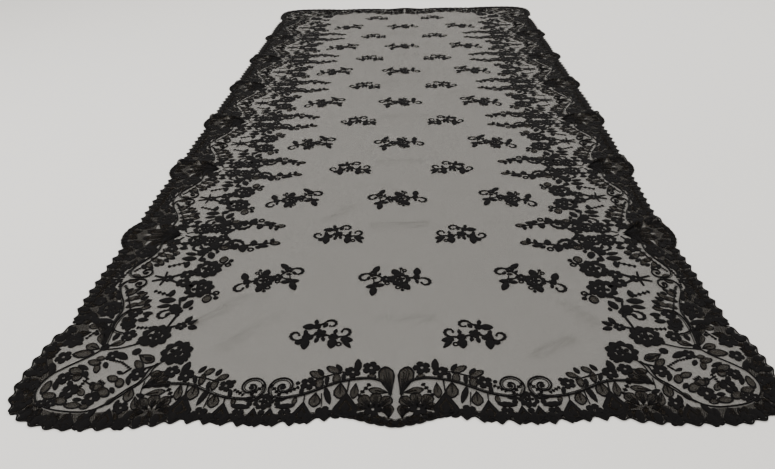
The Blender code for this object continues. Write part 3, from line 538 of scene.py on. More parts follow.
def loft(outline: np.ndarray, middle: tuple[float, float], levels: Sequence[tuple[float, float]],
         crown: float, open_bands: Sequence[int] = ()) -> Form:
    """A plate over an outline: rings shrink about a middle and step up, and a cap closes each end.

    Args:
        outline: the ring of points, anticlockwise.
        middle: what the rings shrink about.
        levels: scale and height of each ring, from the bottom up.
        crown: height of the top's middle point.
        open_bands: bands in open stitch: those between rings from the bottom up, then the top and the bottom.

    Returns:
        The closed form.
    """
    count, centre = len(outline), np.asarray(middle, float)
    rings = [np.column_stack([centre + (outline - centre) * scale, np.full(count, height)])
             for scale, height in levels]
    ends = np.array([[*centre, levels[0][1]], [*centre, crown]])
    starts, total = np.arange(len(levels)) * count, len(levels) * count
    faces = np.vstack([walls(count, starts[:-1], starts[1:]), cap(starts[-1], count, total + 1),
                       cap(0, count, total)[:, ::-1]])
    bands = np.repeat(np.arange(len(levels) + 1), [2 * count] * (len(levels) - 1) + [count, count])
    stitches = np.where(np.isin(bands, open_bands), Stitch.OPEN.value, Stitch.CLOSE.value)
    return Form(np.vstack(rings + [ends]), faces, stitches)


def eyelet(outer: np.ndarray, inner: np.ndarray, levels: Sequence[tuple[float, float]]) -> Form:
    """A plate with a hole: rings run from the outer outline over the top to the hole's rim and back below.

    Args:
        outer: the outer ring of points, anticlockwise.
        inner: the hole's ring, with as many points.
        levels: for each ring, its share of the way from the outer to the inner one, and its height.

    Returns:
        The closed form.
    """
    count, starts = len(outer), np.arange(len(levels)) * len(outer)
    rings = [np.column_stack([outer + (inner - outer) * share, np.full(count, height)])
             for share, height in levels]
    return Form.of(np.vstack(rings), walls(count, starts, np.roll(starts, -1)))


def swept(rings: np.ndarray) -> Form:
    """A closed bar from its sections, with a cap over each end.

    Args:
        rings: points of each section, as section, point and axis, clockwise as seen along the path.

    Returns:
        The closed form.
    """
    count, starts = rings.shape[1], np.arange(len(rings)) * rings.shape[1]
    total = rings.shape[0] * count
    points = np.vstack([rings.reshape(-1, 3), rings[0].mean(0), rings[-1].mean(0)])
    return Form.of(points, np.vstack([walls(count, starts[:-1], starts[1:])[:, ::-1], cap(0, count, total),
                                      cap(starts[-1], count, total + 1)[:, ::-1]]))


def circle(count: int, radius: float) -> np.ndarray:
    """Points round a circle, anticlockwise."""
    angle = 2 * np.pi * np.arange(count) / count
    return radius * np.stack([np.cos(angle), np.sin(angle)], axis=-1)


def spindle(count: int, fullest: float, power: float) -> np.ndarray:
    """Outline along +X from 0 to 1 whose half width is 0.5 sin(pi t^q)^power, fullest at a share of it.

    Args:
        count: number of points on each side, without the two tips.
        fullest: where it is widest.
        power: above 1 for pointed tips, below 1 for round ones.

    Returns:
        The points, anticlockwise from the root.
    """
    t = 0.5 - 0.5 * np.cos(np.pi * np.arange(1, count + 1) / (count + 1))
    return two_sided(t, 0.5 * np.sin(np.pi * t ** (math.log(0.5) / math.log(fullest))) ** power)


def two_sided(t: np.ndarray, half: np.ndarray) -> np.ndarray:
    """Outline along +X from 0 to 1 with a half width at each place, anticlockwise from the root."""
    return np.vstack([[[0.0, 0.0]], np.stack([t, -half], -1), [[1.0, 0.0]], np.stack([t, half], -1)[::-1]])


def lobed(lobes: int, notch: float) -> np.ndarray:
    """Outline of round lobes, 1 across: a notch, a shoulder, a tip and a shoulder each.

    Args:
        lobes: how many.
        notch: distance of a notch from the middle, as a share of a tip's.

    Returns:
        The points, anticlockwise.
    """
    angle = 2 * np.pi * (np.arange(lobes)[:, None] + np.array([0.0, 0.17, 0.5, 0.83])).ravel() / lobes
    reach = 0.5 * np.tile([notch, 0.90, 1.0, 0.90], lobes)
    return np.stack([reach * np.cos(angle), reach * np.sin(angle)], axis=-1)


@dataclass(frozen=True)
class MotifShop:
    """Makes one of each motif, of length 1 and width 1 in plan, with its real heights.

    Attributes:
        rim: height of the raised thread round a motif.
        fill: height of the stitch inside it.
        edge: height of the outermost step.
    """

    rim: float = 0.00110
    fill: float = 0.00062
    edge: float = 0.00058

    def leaf(self) -> Form:
        """A rounded leaf with a point, and a raised rim round its hollow middle."""
        return loft(spindle(4, 0.46, 0.66), (0.45, 0.0), [(1.0, 0.0), (0.97, self.edge), (0.80, self.rim)],
                    self.fill)

    def oval(self) -> Form:
        """A round-ended leaf with a raised rim and a small open middle."""
        return loft(spindle(4, 0.52, 0.52), (0.5, 0.0), [(1.0, 0.0), (0.97, self.edge), (0.72, self.rim)],
                    self.fill, (2, 3))

    def veined(self, outline: np.ndarray, middle: float, rim: float, inside: float,
               *ribs: tuple[float, ...]) -> Form:
        """A petal with a raised rim, open inside it, and with ribs.

        Args:
            outline: its points, anticlockwise.
            middle: where on its axis the rings shrink to.
            rim: scale of the rim.
            inside: scale of the open stitch inside it.
            ribs: length, width, x, y and turn in degrees of each.

        Returns:
            The form.
        """
        levels = [(1.0, 0.0), (1.0, self.edge), (rim, self.rim), (inside, self.fill)]
        plate = loft(outline, (middle, 0.0), levels, self.fill, (3, 4))
        return Form.joined([plate] + [self.stem().scaled(*rib) for rib in ribs])

    def petal(self) -> Form:
        """A petal, fullest near its tip, with a rib from its root."""
        return self.veined(spindle(5, 0.62, 0.70), 0.60, 0.90, 0.78, (0.62, 0.10, 0.05))

    def palm(self) -> Form:
        """A long petal with ribs that fan out from its root."""
        ribs = [(length, 0.055, 0.04, 0.0, turn)
                for turn, length in ((0, 0.88), (13, 0.76), (-13, 0.76), (24, 0.52), (-24, 0.52))]
        return self.veined(spindle(6, 0.68, 0.60), 0.50, 0.93, 0.84, *ribs)

    def shell(self) -> Form:
        """A scallop of the edge: a broad petal with a thick rim and two ribs."""
        return self.veined(spindle(5, 0.62, 0.50), 0.55, 0.86, 0.72, (0.70, 0.09, 0.08, 0.04, 16),
                           (0.70, 0.09, 0.08, -0.04, -16))

    def diamond(self) -> Form:
        """A hanging drop: straight from its tip to its fullest, round below, with rings inside rings.

        Returns:
            The form.
        """
        full, t = 0.62, np.array([0.16, 0.32, 0.47, 0.62, 0.76, 0.89])
        half = 0.5 * np.where(t < full, t / full, np.sqrt(np.clip(1 - ((t - full) / 0.40) ** 2, 0, 1)))
        levels = [(1.0, 0.0), (1.0, self.edge), (0.93, self.rim), (0.86, self.fill), (0.68, self.fill),
                  (0.62, self.rim), (0.54, self.fill), (0.36, self.fill), (0.28, self.rim)]
        return loft(two_sided(t, half), (0.60, 0.0), levels, self.edge, (6,))

    def flower(self) -> Form:
        """A flower of five round petals with an eyelet in its middle."""
        return eyelet(lobed(5, 0.64), circle(20, 0.08), [(0.0, 0.0), (0.10, self.rim), (1.0, self.edge)])

    def rose(self) -> Form:
        """A rose: a wreath of nine petals, with two small flowers inside it beside a gap.

        Returns:
            The form.
        """
        levels = [(0.0, 0.0), (0.0, self.edge), (0.30, self.rim), (1.0, self.rim), (1.0, 0.0)]
        wreath = eyelet(lobed(9, 0.80), circle(36, 0.25) + (0.02, 0.0), levels)
        hearts = [self.flower().scaled(0.40, 0.40, -0.06, y) for y in (0.13, -0.13)]
        return Form.joined([wreath, *hearts, self.dot().scaled(0.16, 0.16, 0.17, 0.02)])

    def ring(self) -> Form:
        """A small open ring."""
        return eyelet(circle(10, 0.5), circle(10, 0.22),
                      [(0.0, 0.0), (0.0, self.edge), (0.5, self.rim), (1.0, self.edge), (1.0, 0.0)])

    def dot(self) -> Form:
        """A small round knot."""
        return loft(circle(7, 0.5), (0.0, 0.0), [(1.0, 0.0), (0.95, self.edge), (0.55, self.rim)], self.rim)

    def curl(self) -> Form:
        """A curl that leaves its root along +X and winds ever tighter to its left, toothed outside.

        Its path turns by a power of the way along it, and its width swells to its fullest half way.

        Returns:
            The form.
        """
        steps, sweep, length = 16, math.radians(265), 2.05
        share = np.arange(steps + 1) / steps
        heading = sweep * share ** 1.5
        middle = sweep * ((share[:-1] + share[1:]) / 2) ** 1.5
        move = length / steps * np.stack([np.cos(middle), np.sin(middle)], -1)
        path = np.vstack([[0.0, 0.0], np.cumsum(move, axis=0)])
        full, least, notch, tooth = 0.155, 0.35, 0.80, 1.35
        half = full * (least + (1 - least) * np.sin(np.pi * share ** 0.9))
        right = half[:, None] * np.stack([np.sin(heading), -np.cos(heading)], -1)
        outer = path + right * np.where(np.arange(steps + 1) % 2, tooth, notch)[:, None]
        inner = path - right * notch
        section = ((outer, 0.0), (outer, self.edge), (path, self.rim), (inner, self.edge), (inner, 0.0))
        rings = np.stack([np.column_stack([line, np.full(steps + 1, height)]) for line, height in section], 1)
        return Form.joined([swept(rings), self.dot().scaled(0.26, 0.26, *path[-1])])

    def beads(self) -> Form:
        """A row of four knots on a thread."""
        knots = [self.dot().scaled(0.18, 1.0, x) for x in (0.09, 0.365, 0.64, 0.91)]
        return Form.joined([self.stem().scaled(1.0, 0.2), *knots])

    def stem(self) -> Form:
        """A straight twig, a little thinner at its far end."""
        outline = np.array([(0.0, -0.5), (1.0, -0.36), (1.0, 0.36), (0.0, 0.5)])
        return loft(outline, (0.5, 0.0), [(1.0, 0.0), (1.0, self.edge), (0.97, self.rim)], self.rim)

    def all(self) -> dict[Kind, Form]:
        """Every motif by its kind."""
        makers = (self.leaf, self.oval, self.petal, self.palm, self.diamond, self.shell, self.flower,
                  self.rose, self.ring, self.dot, self.curl, self.beads, self.stem)
        return {kind: make() for kind, make in zip(Kind, makers)}


def sheet_shell(plan: np.ndarray, low: float, thick: float, stitch: Stitch) -> Form:
    """A thin closed sheet over a grid in plan, lifted over the creases.

    Args:
        plan: x and y of the even pattern, as row, column and axis.
        low: height of its underside over the cloth's own underside.
        thick: its thickness.
        stitch: its stitch.

    Returns:
        The closed form: the upper side, the lower side and the rim between them.
    """
    placed, under = laid(plan), plan.shape[0] * plan.shape[1]
    height = (lift(placed) + low)[..., None]
    top, bottom = (np.concatenate([placed, height + more], -1).reshape(-1, 3) for more in (thick, 0.0))
    index = np.arange(under).reshape(plan.shape[:2])
    a, b, c, d = (part.ravel() for part in (index[:-1, :-1], index[1:, :-1], index[1:, 1:], index[:-1, 1:]))
    upper = np.vstack([np.stack([a, b, c], -1), np.stack([a, c, d], -1)])
    loop = np.concatenate([index[:-1, 0], index[-1, :-1], index[:0:-1, -1], index[0, :0:-1]])
    after = np.roll(loop, -1)
    faces = np.vstack([upper, upper[:, ::-1] + under, np.stack([loop, loop + under, after + under], -1),
                       np.stack([loop, after + under, after], -1)])
    first, second, third = (top[upper[:, k], :2] for k in range(3))
    turn = np.cross(second - first, third - first).sum()
    return Form.of(np.vstack([top, bottom]), faces if turn > 0 else faces[:, ::-1], stitch)


@dataclass(frozen=True)
class Cord:
    """A thread laid along a path.

    Attributes:
        path: x and y of its middle line.
        radius: half its width.
        sides: of its section.
        first: angle of the section's first corner, in radians.
        flat: how high it is, as a share of its width.
    """

    path: np.ndarray
    radius: float
    sides: int = 5
    first: float = 0.3
    flat: float = 0.75

    def form(self, base: float) -> Form:
        """The cord as it lies: a flattened round section carried along the path.

        Args:
            base: height of its underside over the cloth's own underside.

        Returns:
            The closed form.
        """
        side = to_right(np.gradient(self.path, axis=0))
        angle = 2 * np.pi * np.arange(self.sides) / self.sides + self.first
        plan = laid(self.path[:, None] + side[:, None] * (self.radius * np.cos(angle))[:, None])
        height = lift(plan) + base + self.flat * self.radius * (1 + np.sin(angle))
        return swept(np.concatenate([plan, height[..., None]], axis=-1)[:, ::-1])


@dataclass(frozen=True)
class Panel:
    """A strip of close ground between two lines with as many points, which the motifs lie on.

    Attributes:
        outer: x and y of one edge.
        inner: x and y of the other.
        thick: its thickness.
    """

    outer: np.ndarray
    inner: np.ndarray
    thick: float = 0.00012

    def form(self, base: float) -> Form:
        """The strip as it lies, in four cells from edge to edge."""
        share = np.linspace(0, 1, 5)[:, None]
        return sheet_shell(self.outer[:, None] * (1 - share) + self.inner[:, None] * share, base, self.thick,
                           Stitch.GROUND)


@dataclass(frozen=True)
class Lace:
    """Motifs, cords and close ground of a stretch of lace, in plan.

    Attributes:
        rows: kind, x, y, turn in radians, length, width and hand of each motif.
        cords: its threads.
        panels: its close ground.
    """

    rows: np.ndarray = field(default_factory=lambda: np.zeros((0, 7)))
    cords: tuple[Cord, ...] = ()
    panels: tuple[Panel, ...] = ()

    @classmethod
    def of(cls, *tables: Table) -> "Lace":
        """Lace from tables of motifs.

        Args:
            tables: each kind's places and sizes, in millimetres and degrees.

        Returns:
            The lace.
        """
        rows = []
        for kind, places in (item for table in tables for item in table.items()):
            for x, y, turn, length, *last in places:
                width = length if kind in ROUND else last[0]
                rows.append((kind.value, x * MM, y * MM, math.radians(turn), length * MM, width * MM,
                             last[0] if kind is Kind.CURL else 1))
        return cls(np.array(rows, float))

    @classmethod
    def thread(cls, path: Sequence[Sequence[float]], radius: float) -> "Lace":
        """Lace of one cord along a path in millimetres."""
        return cls(cords=(Cord(np.asarray(path, float) * MM, radius),))

    @classmethod
    def ribbed(cls, path: np.ndarray, radius: float, apart: float, thin: float = 0.45) -> "Lace":
        """Lace of a thick cord and a thin one beside it.

        Args:
            path: x and y of the thick one in millimetres.
            radius: half its width, in metres.
            apart: how far to its left the thin one lies, in millimetres.
            thin: width of the thin one as a share of the other's.

        Returns:
            Both cords.
        """
        beside = path - to_right(np.gradient(path, axis=0)) * apart
        return cls.thread(path, radius) + cls.thread(beside, thin * radius)

    def __add__(self, other: "Lace") -> "Lace":
        """Both together."""
        return Lace(np.vstack([self.rows, other.rows]), self.cords + other.cords, self.panels + other.panels)

    def mapped(self, matrix: Sequence[Sequence[float]], shift: Sequence[float] = (0.0, 0.0)) -> "Lace":
        """The lace turned or mirrored by a matrix, and then moved.

        Args:
            matrix: what each point, as a row, is multiplied by.
            shift: move in metres.

        Returns:
            The new lace.
        """
        change, rows = np.asarray(matrix), self.rows.copy()
        heading = np.stack([np.cos(rows[:, TURN]), np.sin(rows[:, TURN])], -1) @ change
        rows[:, [X, Y]] = rows[:, [X, Y]] @ change + shift
        rows[:, TURN] = np.arctan2(heading[:, 1], heading[:, 0])
        rows[:, HAND] *= np.sign(np.linalg.det(change))
        return Lace(rows, tuple(Cord(cord.path @ change + shift, cord.radius) for cord in self.cords),
                    tuple(Panel(panel.outer @ change + shift, panel.inner @ change + shift)
                          for panel in self.panels))

    def moved(self, x: float = 0.0, y: float = 0.0) -> "Lace":
        """The lace moved in plan, in metres."""
        return self.mapped(np.eye(2), (x, y))

    def turned(self, degrees: float) -> "Lace":
        """The lace turned anticlockwise about the origin."""
        c, s = math.cos(math.radians(degrees)), math.sin(math.radians(degrees))
        return self.mapped(((c, s), (-s, c)))

    def flipped(self, across: bool = False, lengthwise: bool = False) -> "Lace":
        """The lace mirrored across the middle line, end for end, or both."""
        return self.mapped(np.diag((-1.0 if across else 1.0, -1.0 if lengthwise else 1.0)))

    def below(self, limit: float) -> "Lace":
        """The same without the motifs whose own Y is past a limit in metres."""
        return Lace(self.rows[self.rows[:, Y] < limit], self.cords, self.panels)


@dataclass(frozen=True)
class Nodes:
    """Short ways to add shader nodes to a material.

    Attributes:
        tree: the material's node tree.
    """

    tree: bpy.types.NodeTree

    def wire(self, source: object, target: bpy.types.NodeSocket) -> None:
        """Links an output to an input, or sets the input to a value.

        Args:
            source: the output or the value.
            target: the input.
        """
        if isinstance(source, bpy.types.NodeSocket):
            self.tree.links.new(source, target)
        else:
            target.default_value = source

    def add(self, kind: str, *values: object, **settings: object) -> bpy.types.Node:
        """A new node.

        Args:
            kind: its type's name.
            values: outputs or values for its first inputs.
            settings: attributes to set, by name.

        Returns:
            The node.
        """
        node = self.tree.nodes.new(kind)
        for name, value in settings.items():
            setattr(node, name, value)
        for value, target in zip(values, node.inputs):
            self.wire(value, target)
        return node

    def math(self, operation: str, *values: object) -> bpy.types.NodeSocket:
        """The result of a Math node."""
        return self.add("ShaderNodeMath", *values, operation=operation).outputs[0]

    def vector(self, operation: str, *values: object) -> bpy.types.NodeSocket:
        """The vector result of a Vector Math node, or its number for a dot product."""
        node = self.add("ShaderNodeVectorMath", *values, operation=operation)
        return node.outputs["Value" if operation == "DOT_PRODUCT" else "Vector"]

    def place(self, *scale: float) -> bpy.types.NodeSocket:
        """Object coordinates, scaled on each axis."""
        return self.vector("MULTIPLY", self.add("ShaderNodeTexCoord").outputs["Object"], scale)

    def ramp(self, value: object, low: float, high: float, first: float,
             second: float) -> bpy.types.NodeSocket:
        """A smooth step from a first number, at a low value, to a second one at a high value."""
        return self.add("ShaderNodeMapRange", value, low, high, first, second,
                        interpolation_type="SMOOTHSTEP").outputs[0]


@dataclass(frozen=True)
class Finish:
    """A finish that all yarns here share: a colour, its roughness and a soft sheen.

    Attributes:
        name: the material's name.
        colour: linear red, green and blue of the yarn.
        second: the colour that it turns to in patches.
        roughness: of the yarn.
        sheen: weight of the soft sheen.
        gloss: how much it mirrors.
        relief: height of its threads in metres.
        bumpy: strength of that relief.
        mottle: how many times the coordinates of the noise are enlarged.
        patches: values of the noise between which the second colour sets in.
    """

    name: str
    colour: tuple[float, float, float]
    second: tuple[float, float, float]
    roughness: float
    sheen: float
    gloss: float = 0.06
    relief: float = 0.00012
    bumpy: float = 0.6
    mottle: float = 120.0
    patches: tuple[float, float] = (0.35, 0.68)

    def start(self) -> tuple[bpy.types.Material, Nodes, bpy.types.Node]:
        """A new material with its constants set, and its colour mixed from two by soft noise.

        Returns:
            The material, its nodes, and its shader.
        """
        material = bpy.data.materials.new(self.name)
        material.use_nodes = True
        nodes, shader = Nodes(material.node_tree), material.node_tree.nodes["Principled BSDF"]
        for name, value in (("Roughness", self.roughness), ("Sheen Weight", self.sheen),
                            ("Specular IOR Level", self.gloss)):
            shader.inputs[name].default_value = value
        noise = nodes.add("ShaderNodeTexNoise", nodes.place(self.mottle, self.mottle, self.mottle))
        noise.inputs["Detail"].default_value = 3.0
        mix = nodes.add("ShaderNodeMix", data_type="RGBA")
        nodes.wire(nodes.ramp(noise.outputs["Fac"], *self.patches, 0.0, 1.0), mix.inputs["Factor"])
        nodes.wire((*self.colour, 1.0), mix.inputs["A"])
        nodes.wire((*self.second, 1.0), mix.inputs["B"])
        nodes.wire(mix.outputs["Result"], shader.inputs["Base Color"])
        return material, nodes, shader

    def bump(self, nodes: Nodes, shader: bpy.types.Node, height: bpy.types.NodeSocket) -> None:
        """Raises the surface by a pattern's height.

        Args:
            nodes: the material's nodes.
            shader: its shader.
            height: the pattern, from 0 to 1.
        """
        node = nodes.add("ShaderNodeBump")
        for name, value in (("Strength", self.bumpy), ("Distance", self.relief), ("Height", height)):
            nodes.wire(value, node.inputs[name])
        nodes.wire(node.outputs["Normal"], shader.inputs["Normal"])


@dataclass(frozen=True)
class NetFinish(Finish):
    """Six-sided net: threads along the walls of a honeycomb, clear between them.

    Attributes:
        cell: width of one mesh of the net.
        thread: width of the thread as a share of half the cell.
        cover: how much the thread hides.
        haze: how much the middle of a mesh hides, where stray fibres cross it.
        crease_shade: how much more it hides where the creases are steep, by a point attribute: painted shade,
            and the denser look of tilted net.
    """

    cell: float = 0.0021
    thread: float = 0.16
    cover: float = 0.52
    haze: float = 0.05
    crease_shade: float = 0.0

    def material(self) -> bpy.types.Material:
        """The net: the distance to the nearest of two staggered lattices gives the honeycomb's walls.

        The lattices are moved far enough for every coordinate on the cloth to be above zero.

        Returns:
            The material.
        """
        material, nodes, shader = self.start()
        root3, far = math.sqrt(3), 1200.0
        flat = nodes.vector("ADD", nodes.place(1 / self.cell, 1 / self.cell, 0), (far, far, 0.0))
        half = (0.5, root3 / 2, 0.0)
        first, second = (nodes.vector("SUBTRACT", nodes.vector("MODULO", grid, (1.0, root3, 1.0)), half)
                         for grid in (flat, nodes.vector("ADD", flat, half)))
        nearer = nodes.math("LESS_THAN", nodes.vector("DOT_PRODUCT", second, second),
                            nodes.vector("DOT_PRODUCT", first, first))
        pick = nodes.add("ShaderNodeMix", data_type="VECTOR")
        for source, number in ((nearer, 0), (first, 4), (second, 5)):
            nodes.wire(source, pick.inputs[number])
        folded = nodes.vector("ABSOLUTE", pick.outputs[1])
        parts = nodes.add("ShaderNodeSeparateXYZ", folded)
        wall = nodes.math("MAXIMUM", parts.outputs[0], nodes.vector("DOT_PRODUCT", folded, half))
        edge = 0.5 - self.thread * 0.5
        foot, top = edge - 0.03, edge + 0.02
        cover = nodes.ramp(wall, foot, top, self.haze, self.cover)
        # Painted shade along the creases: more cover, so a darker net, where they are steep; it also stands
        # for the denser look of tilted net.
        if self.crease_shade:
            crease_shade_mask = nodes.add("ShaderNodeAttribute", attribute_name="crease_shade").outputs["Fac"]
            cover = nodes.math("MULTIPLY_ADD", crease_shade_mask, self.crease_shade, cover)
        nodes.wire(cover, shader.inputs["Alpha"])
        self.bump(nodes, shader, nodes.ramp(wall, foot, 0.5, 0.0, 1.0))
        return material


@dataclass(frozen=True)
class ClothStitchFinish(Finish):
    """Close cloth stitch: two crossing sets of fine threads with hardly a gap.

    Attributes:
        gauge: distance from thread to thread.
    """

    gauge: float = 0.0007

    def weave(self, nodes: Nodes) -> bpy.types.NodeSocket:
        """Height of the crossing threads: the product of two sines along X and Y, from 0 to 1.

        Args:
            nodes: the material's nodes.

        Returns:
            The height's output.
        """
        turns = 2 * math.pi / self.gauge
        parts = nodes.add("ShaderNodeSeparateXYZ", nodes.place(turns, turns, turns))
        across, along = (nodes.math("SINE", parts.outputs[axis]) for axis in (0, 1))
        return nodes.math("MULTIPLY_ADD", nodes.math("MULTIPLY", across, along), 0.5, 0.5)

    def material(self) -> bpy.types.Material:
        """The close stitch.

        Returns:
            The material.
        """
        material, nodes, shader = self.start()
        self.bump(nodes, shader, self.weave(nodes))
        return material


@dataclass(frozen=True)
class HalfStitchFinish(ClothStitchFinish):
    """Open half stitch: the ground shows dimly through the crossing threads.

    Attributes:
        least: how much the gaps between threads hide.
        most: how much the threads hide.
    """

    least: float = 0.08
    most: float = 0.66

    def material(self) -> bpy.types.Material:
        """The open stitch.

        Returns:
            The material.
        """
        material, nodes, shader = self.start()
        weave = self.weave(nodes)
        nodes.wire(nodes.ramp(weave, 0.25, 0.75, self.least, self.most), shader.inputs["Alpha"])
        self.bump(nodes, shader, weave)
        return material


@dataclass(frozen=True)
class Wardrobe:
    """The finishes of the cloth.

    Attributes:
        net: the net.
        close: close stitch.
        open: open stitch.
        ground: close ground.
    """

    # The net's cover grows along the creases as painted shade.
    net: NetFinish = NetFinish("net", (0.036, 0.030, 0.021), (0.026, 0.022, 0.017), 0.90, 0.02,
                               relief=0.0002, cell=0.0017, thread=0.18, cover=0.70, haze=0.205, crease_shade=0.045)
    close: ClothStitchFinish = ClothStitchFinish("cloth_stitch", (0.002, 0.002, 0.0025),
                                                 (0.006, 0.005, 0.0045), 0.85, 0.01, gauge=0.0008)
    open: HalfStitchFinish = HalfStitchFinish("half_stitch", (0.009, 0.007, 0.005), (0.016, 0.012, 0.008),
                                              0.88, 0.01, gauge=0.0011)
    ground: NetFinish = NetFinish("close_ground", (0.014, 0.011, 0.008), (0.007, 0.006, 0.005), 0.90, 0.01,
                                  relief=0.0002, cell=0.0026, thread=0.30, cover=0.62, haze=0.16)

    def lace(self) -> list[bpy.types.Material]:
        """The materials of a lace piece, in the order of the stitches."""
        return [self.close.material(), self.open.material(), self.ground.material()]


def make_object(name: str, form: Form, materials: list[bpy.types.Material],
                sharp: float = 40.0) -> bpy.types.Object:
    """A mesh object from a form, with its pattern's own flat map and its sharp edges marked.

    Args:
        name: the piece's name.
        form: the points, faces and stitches.
        materials: the slots' materials, by the number of the stitch.
        sharp: edges that turn by more than this many degrees stay sharp.

    Returns:
        The object, in the scene's collection.
    """
    mesh, count = bpy.data.meshes.new(name), len(form.faces)
    for group, size in ((mesh.vertices, len(form.points)), (mesh.loops, 3 * count), (mesh.polygons, count)):
        group.add(size)
    for material in materials:
        mesh.materials.append(material)
    mesh.vertices.foreach_set("co", form.points.astype(np.float32).ravel())
    mesh.loops.foreach_set("vertex_index", form.faces.astype(np.int32).ravel())
    mesh.polygons.foreach_set("loop_start", np.arange(0, 3 * count, 3, dtype=np.int32))
    mesh.polygons.foreach_set("material_index", form.stitches.astype(np.int32))
    mesh.polygons.foreach_set("use_smooth", np.ones(count, dtype=bool))
    mesh.update(calc_edges=True)
    mesh.validate()
    mesh.set_sharp_from_angle(angle=math.radians(sharp))
    low, high = form.points.min(0), form.points.max(0)
    flat = (form.points[form.faces.ravel(), :2] - low[:2]) / (high[:2] - low[:2])
    mesh.uv_layers.new(name="OFBake").data.foreach_set("uv", flat.astype(np.float32).ravel())
    return in_scene(bpy.data.objects.new(name, mesh))


def in_scene(item: bpy.types.Object) -> bpy.types.Object:
    """Puts an object into the scene's collection, and returns it."""
    bpy.context.scene.collection.objects.link(item)
    return item


@dataclass
class LaceMaker:
    """Turns lace into one mesh that lies on the cloth.

    Attributes:
        base: height of the motifs' undersides over the cloth's underside.
        over_net: how much higher the close ground lies, so that it clears the net.
        step: how much higher each take of motifs lies than the last, so that none share a plane.
        takes: how many takes there are.
        forms: a motif of each kind.
    """

    base: float = 0.00040
    over_net: float = 0.00012
    step: float = 0.00005
    takes: int = 5
    forms: dict[Kind, Form] = field(default_factory=lambda: MotifShop().all())

    def motifs(self, lace: Lace, kind: Kind) -> Form:
        """All motifs of one kind: the kind's form, stretched, mirrored by its hand, turned and moved.

        Args:
            lace: where they are.
            kind: which to make.

        Returns:
            Their form as they lie on the cloth.
        """
        form, rows = self.forms[kind], lace.rows[lace.rows[:, KIND] == kind.value]
        count, own = len(rows), form.points[:, 2]
        place_x, place_y, turn, length, width, hand = (rows[:, k:k + 1] for k in range(X, HAND + 1))
        x, y = form.points[:, 0] * length, form.points[:, 1] * width * hand
        c, s = np.cos(turn), np.sin(turn)
        plan = laid(np.stack([place_x + c * x - s * y, place_y + s * x + c * y], axis=-1))
        rank = (np.arange(count) % self.takes)[:, None]
        height = lift(plan) + self.base + own + self.step * rank * (own > 0)
        faces = form.faces + (np.arange(count) * len(own))[:, None, None]
        mirrored = rows[:, HAND] < 0
        faces[mirrored] = faces[mirrored][:, :, ::-1]
        return Form(np.concatenate([plan, height[..., None]], axis=-1).reshape(-1, 3), faces.reshape(-1, 3),
                    np.tile(form.stitches, count))

    def make(self, name: str, lace: Lace, materials: list[bpy.types.Material]) -> bpy.types.Object:
        """One piece of lace.

        Args:
            name: the piece's name.
            lace: its motifs and cords.
            materials: by the number of the stitch.

        Returns:
            The object.
        """
        whole = Form.joined([self.motifs(lace, kind) for kind in Kind]
                            + [cord.form(self.base) for cord in lace.cords]
                            + [panel.form(self.base + self.over_net) for panel in lace.panels])
        LOG.info("%s: %d motifs, %d cords, %d strips of close ground, %d triangles", name, len(lace.rows),
                 len(lace.cords), len(lace.panels), len(whole.faces))
        return make_object(name, whole, materials)


@dataclass(frozen=True)
class Stretch:
    """A stretch of the edge.

    Attributes:
        line: x and y of the line that its scallops stand on.
        inner: x and y of its close ground's other side.
        count: how many scallops.
        depth: how far they stand out.
        fan: whether it lies round a fan, with shallow round scallops.
        deep: whether a second row of ovals lies inside it.
        blunt: power of the scallops' formula: the higher it is, the rounder are their tips.
    """

    line: np.ndarray
    inner: np.ndarray
    count: int
    depth: float
    fan: bool = False
    deep: bool = False
    blunt: float = 1.25


@dataclass(frozen=True)
class Trim:
    """Motifs along the edge, one for each scallop.

    Attributes:
        kind: their kind.
        inset: how far in from the edge line, or from the scallops' tips, they start.
        length: their length.
        width: their width.
        turn: how far they turn from straight outwards, in degrees.
    """

    kind: Kind
    inset: float
    length: float
    width: float
    turn: float = 0.0

    def along(self, points: np.ndarray, right: np.ndarray, out: float, turn: np.ndarray) -> Lace:
        """The motifs.

        Args:
            points: where on the edge line.
            right: unit directions outwards there.
            out: how much further out they lie.
            turn: directions outwards in degrees.

        Returns:
            Their lace.
        """
        count = len(points)
        return Lace(np.column_stack([np.full(count, self.kind.value), points + right * (out - self.inset),
                                     np.radians(turn + self.turn), np.full(count, self.length),
                                     np.full(count, self.width), np.ones(count)]))


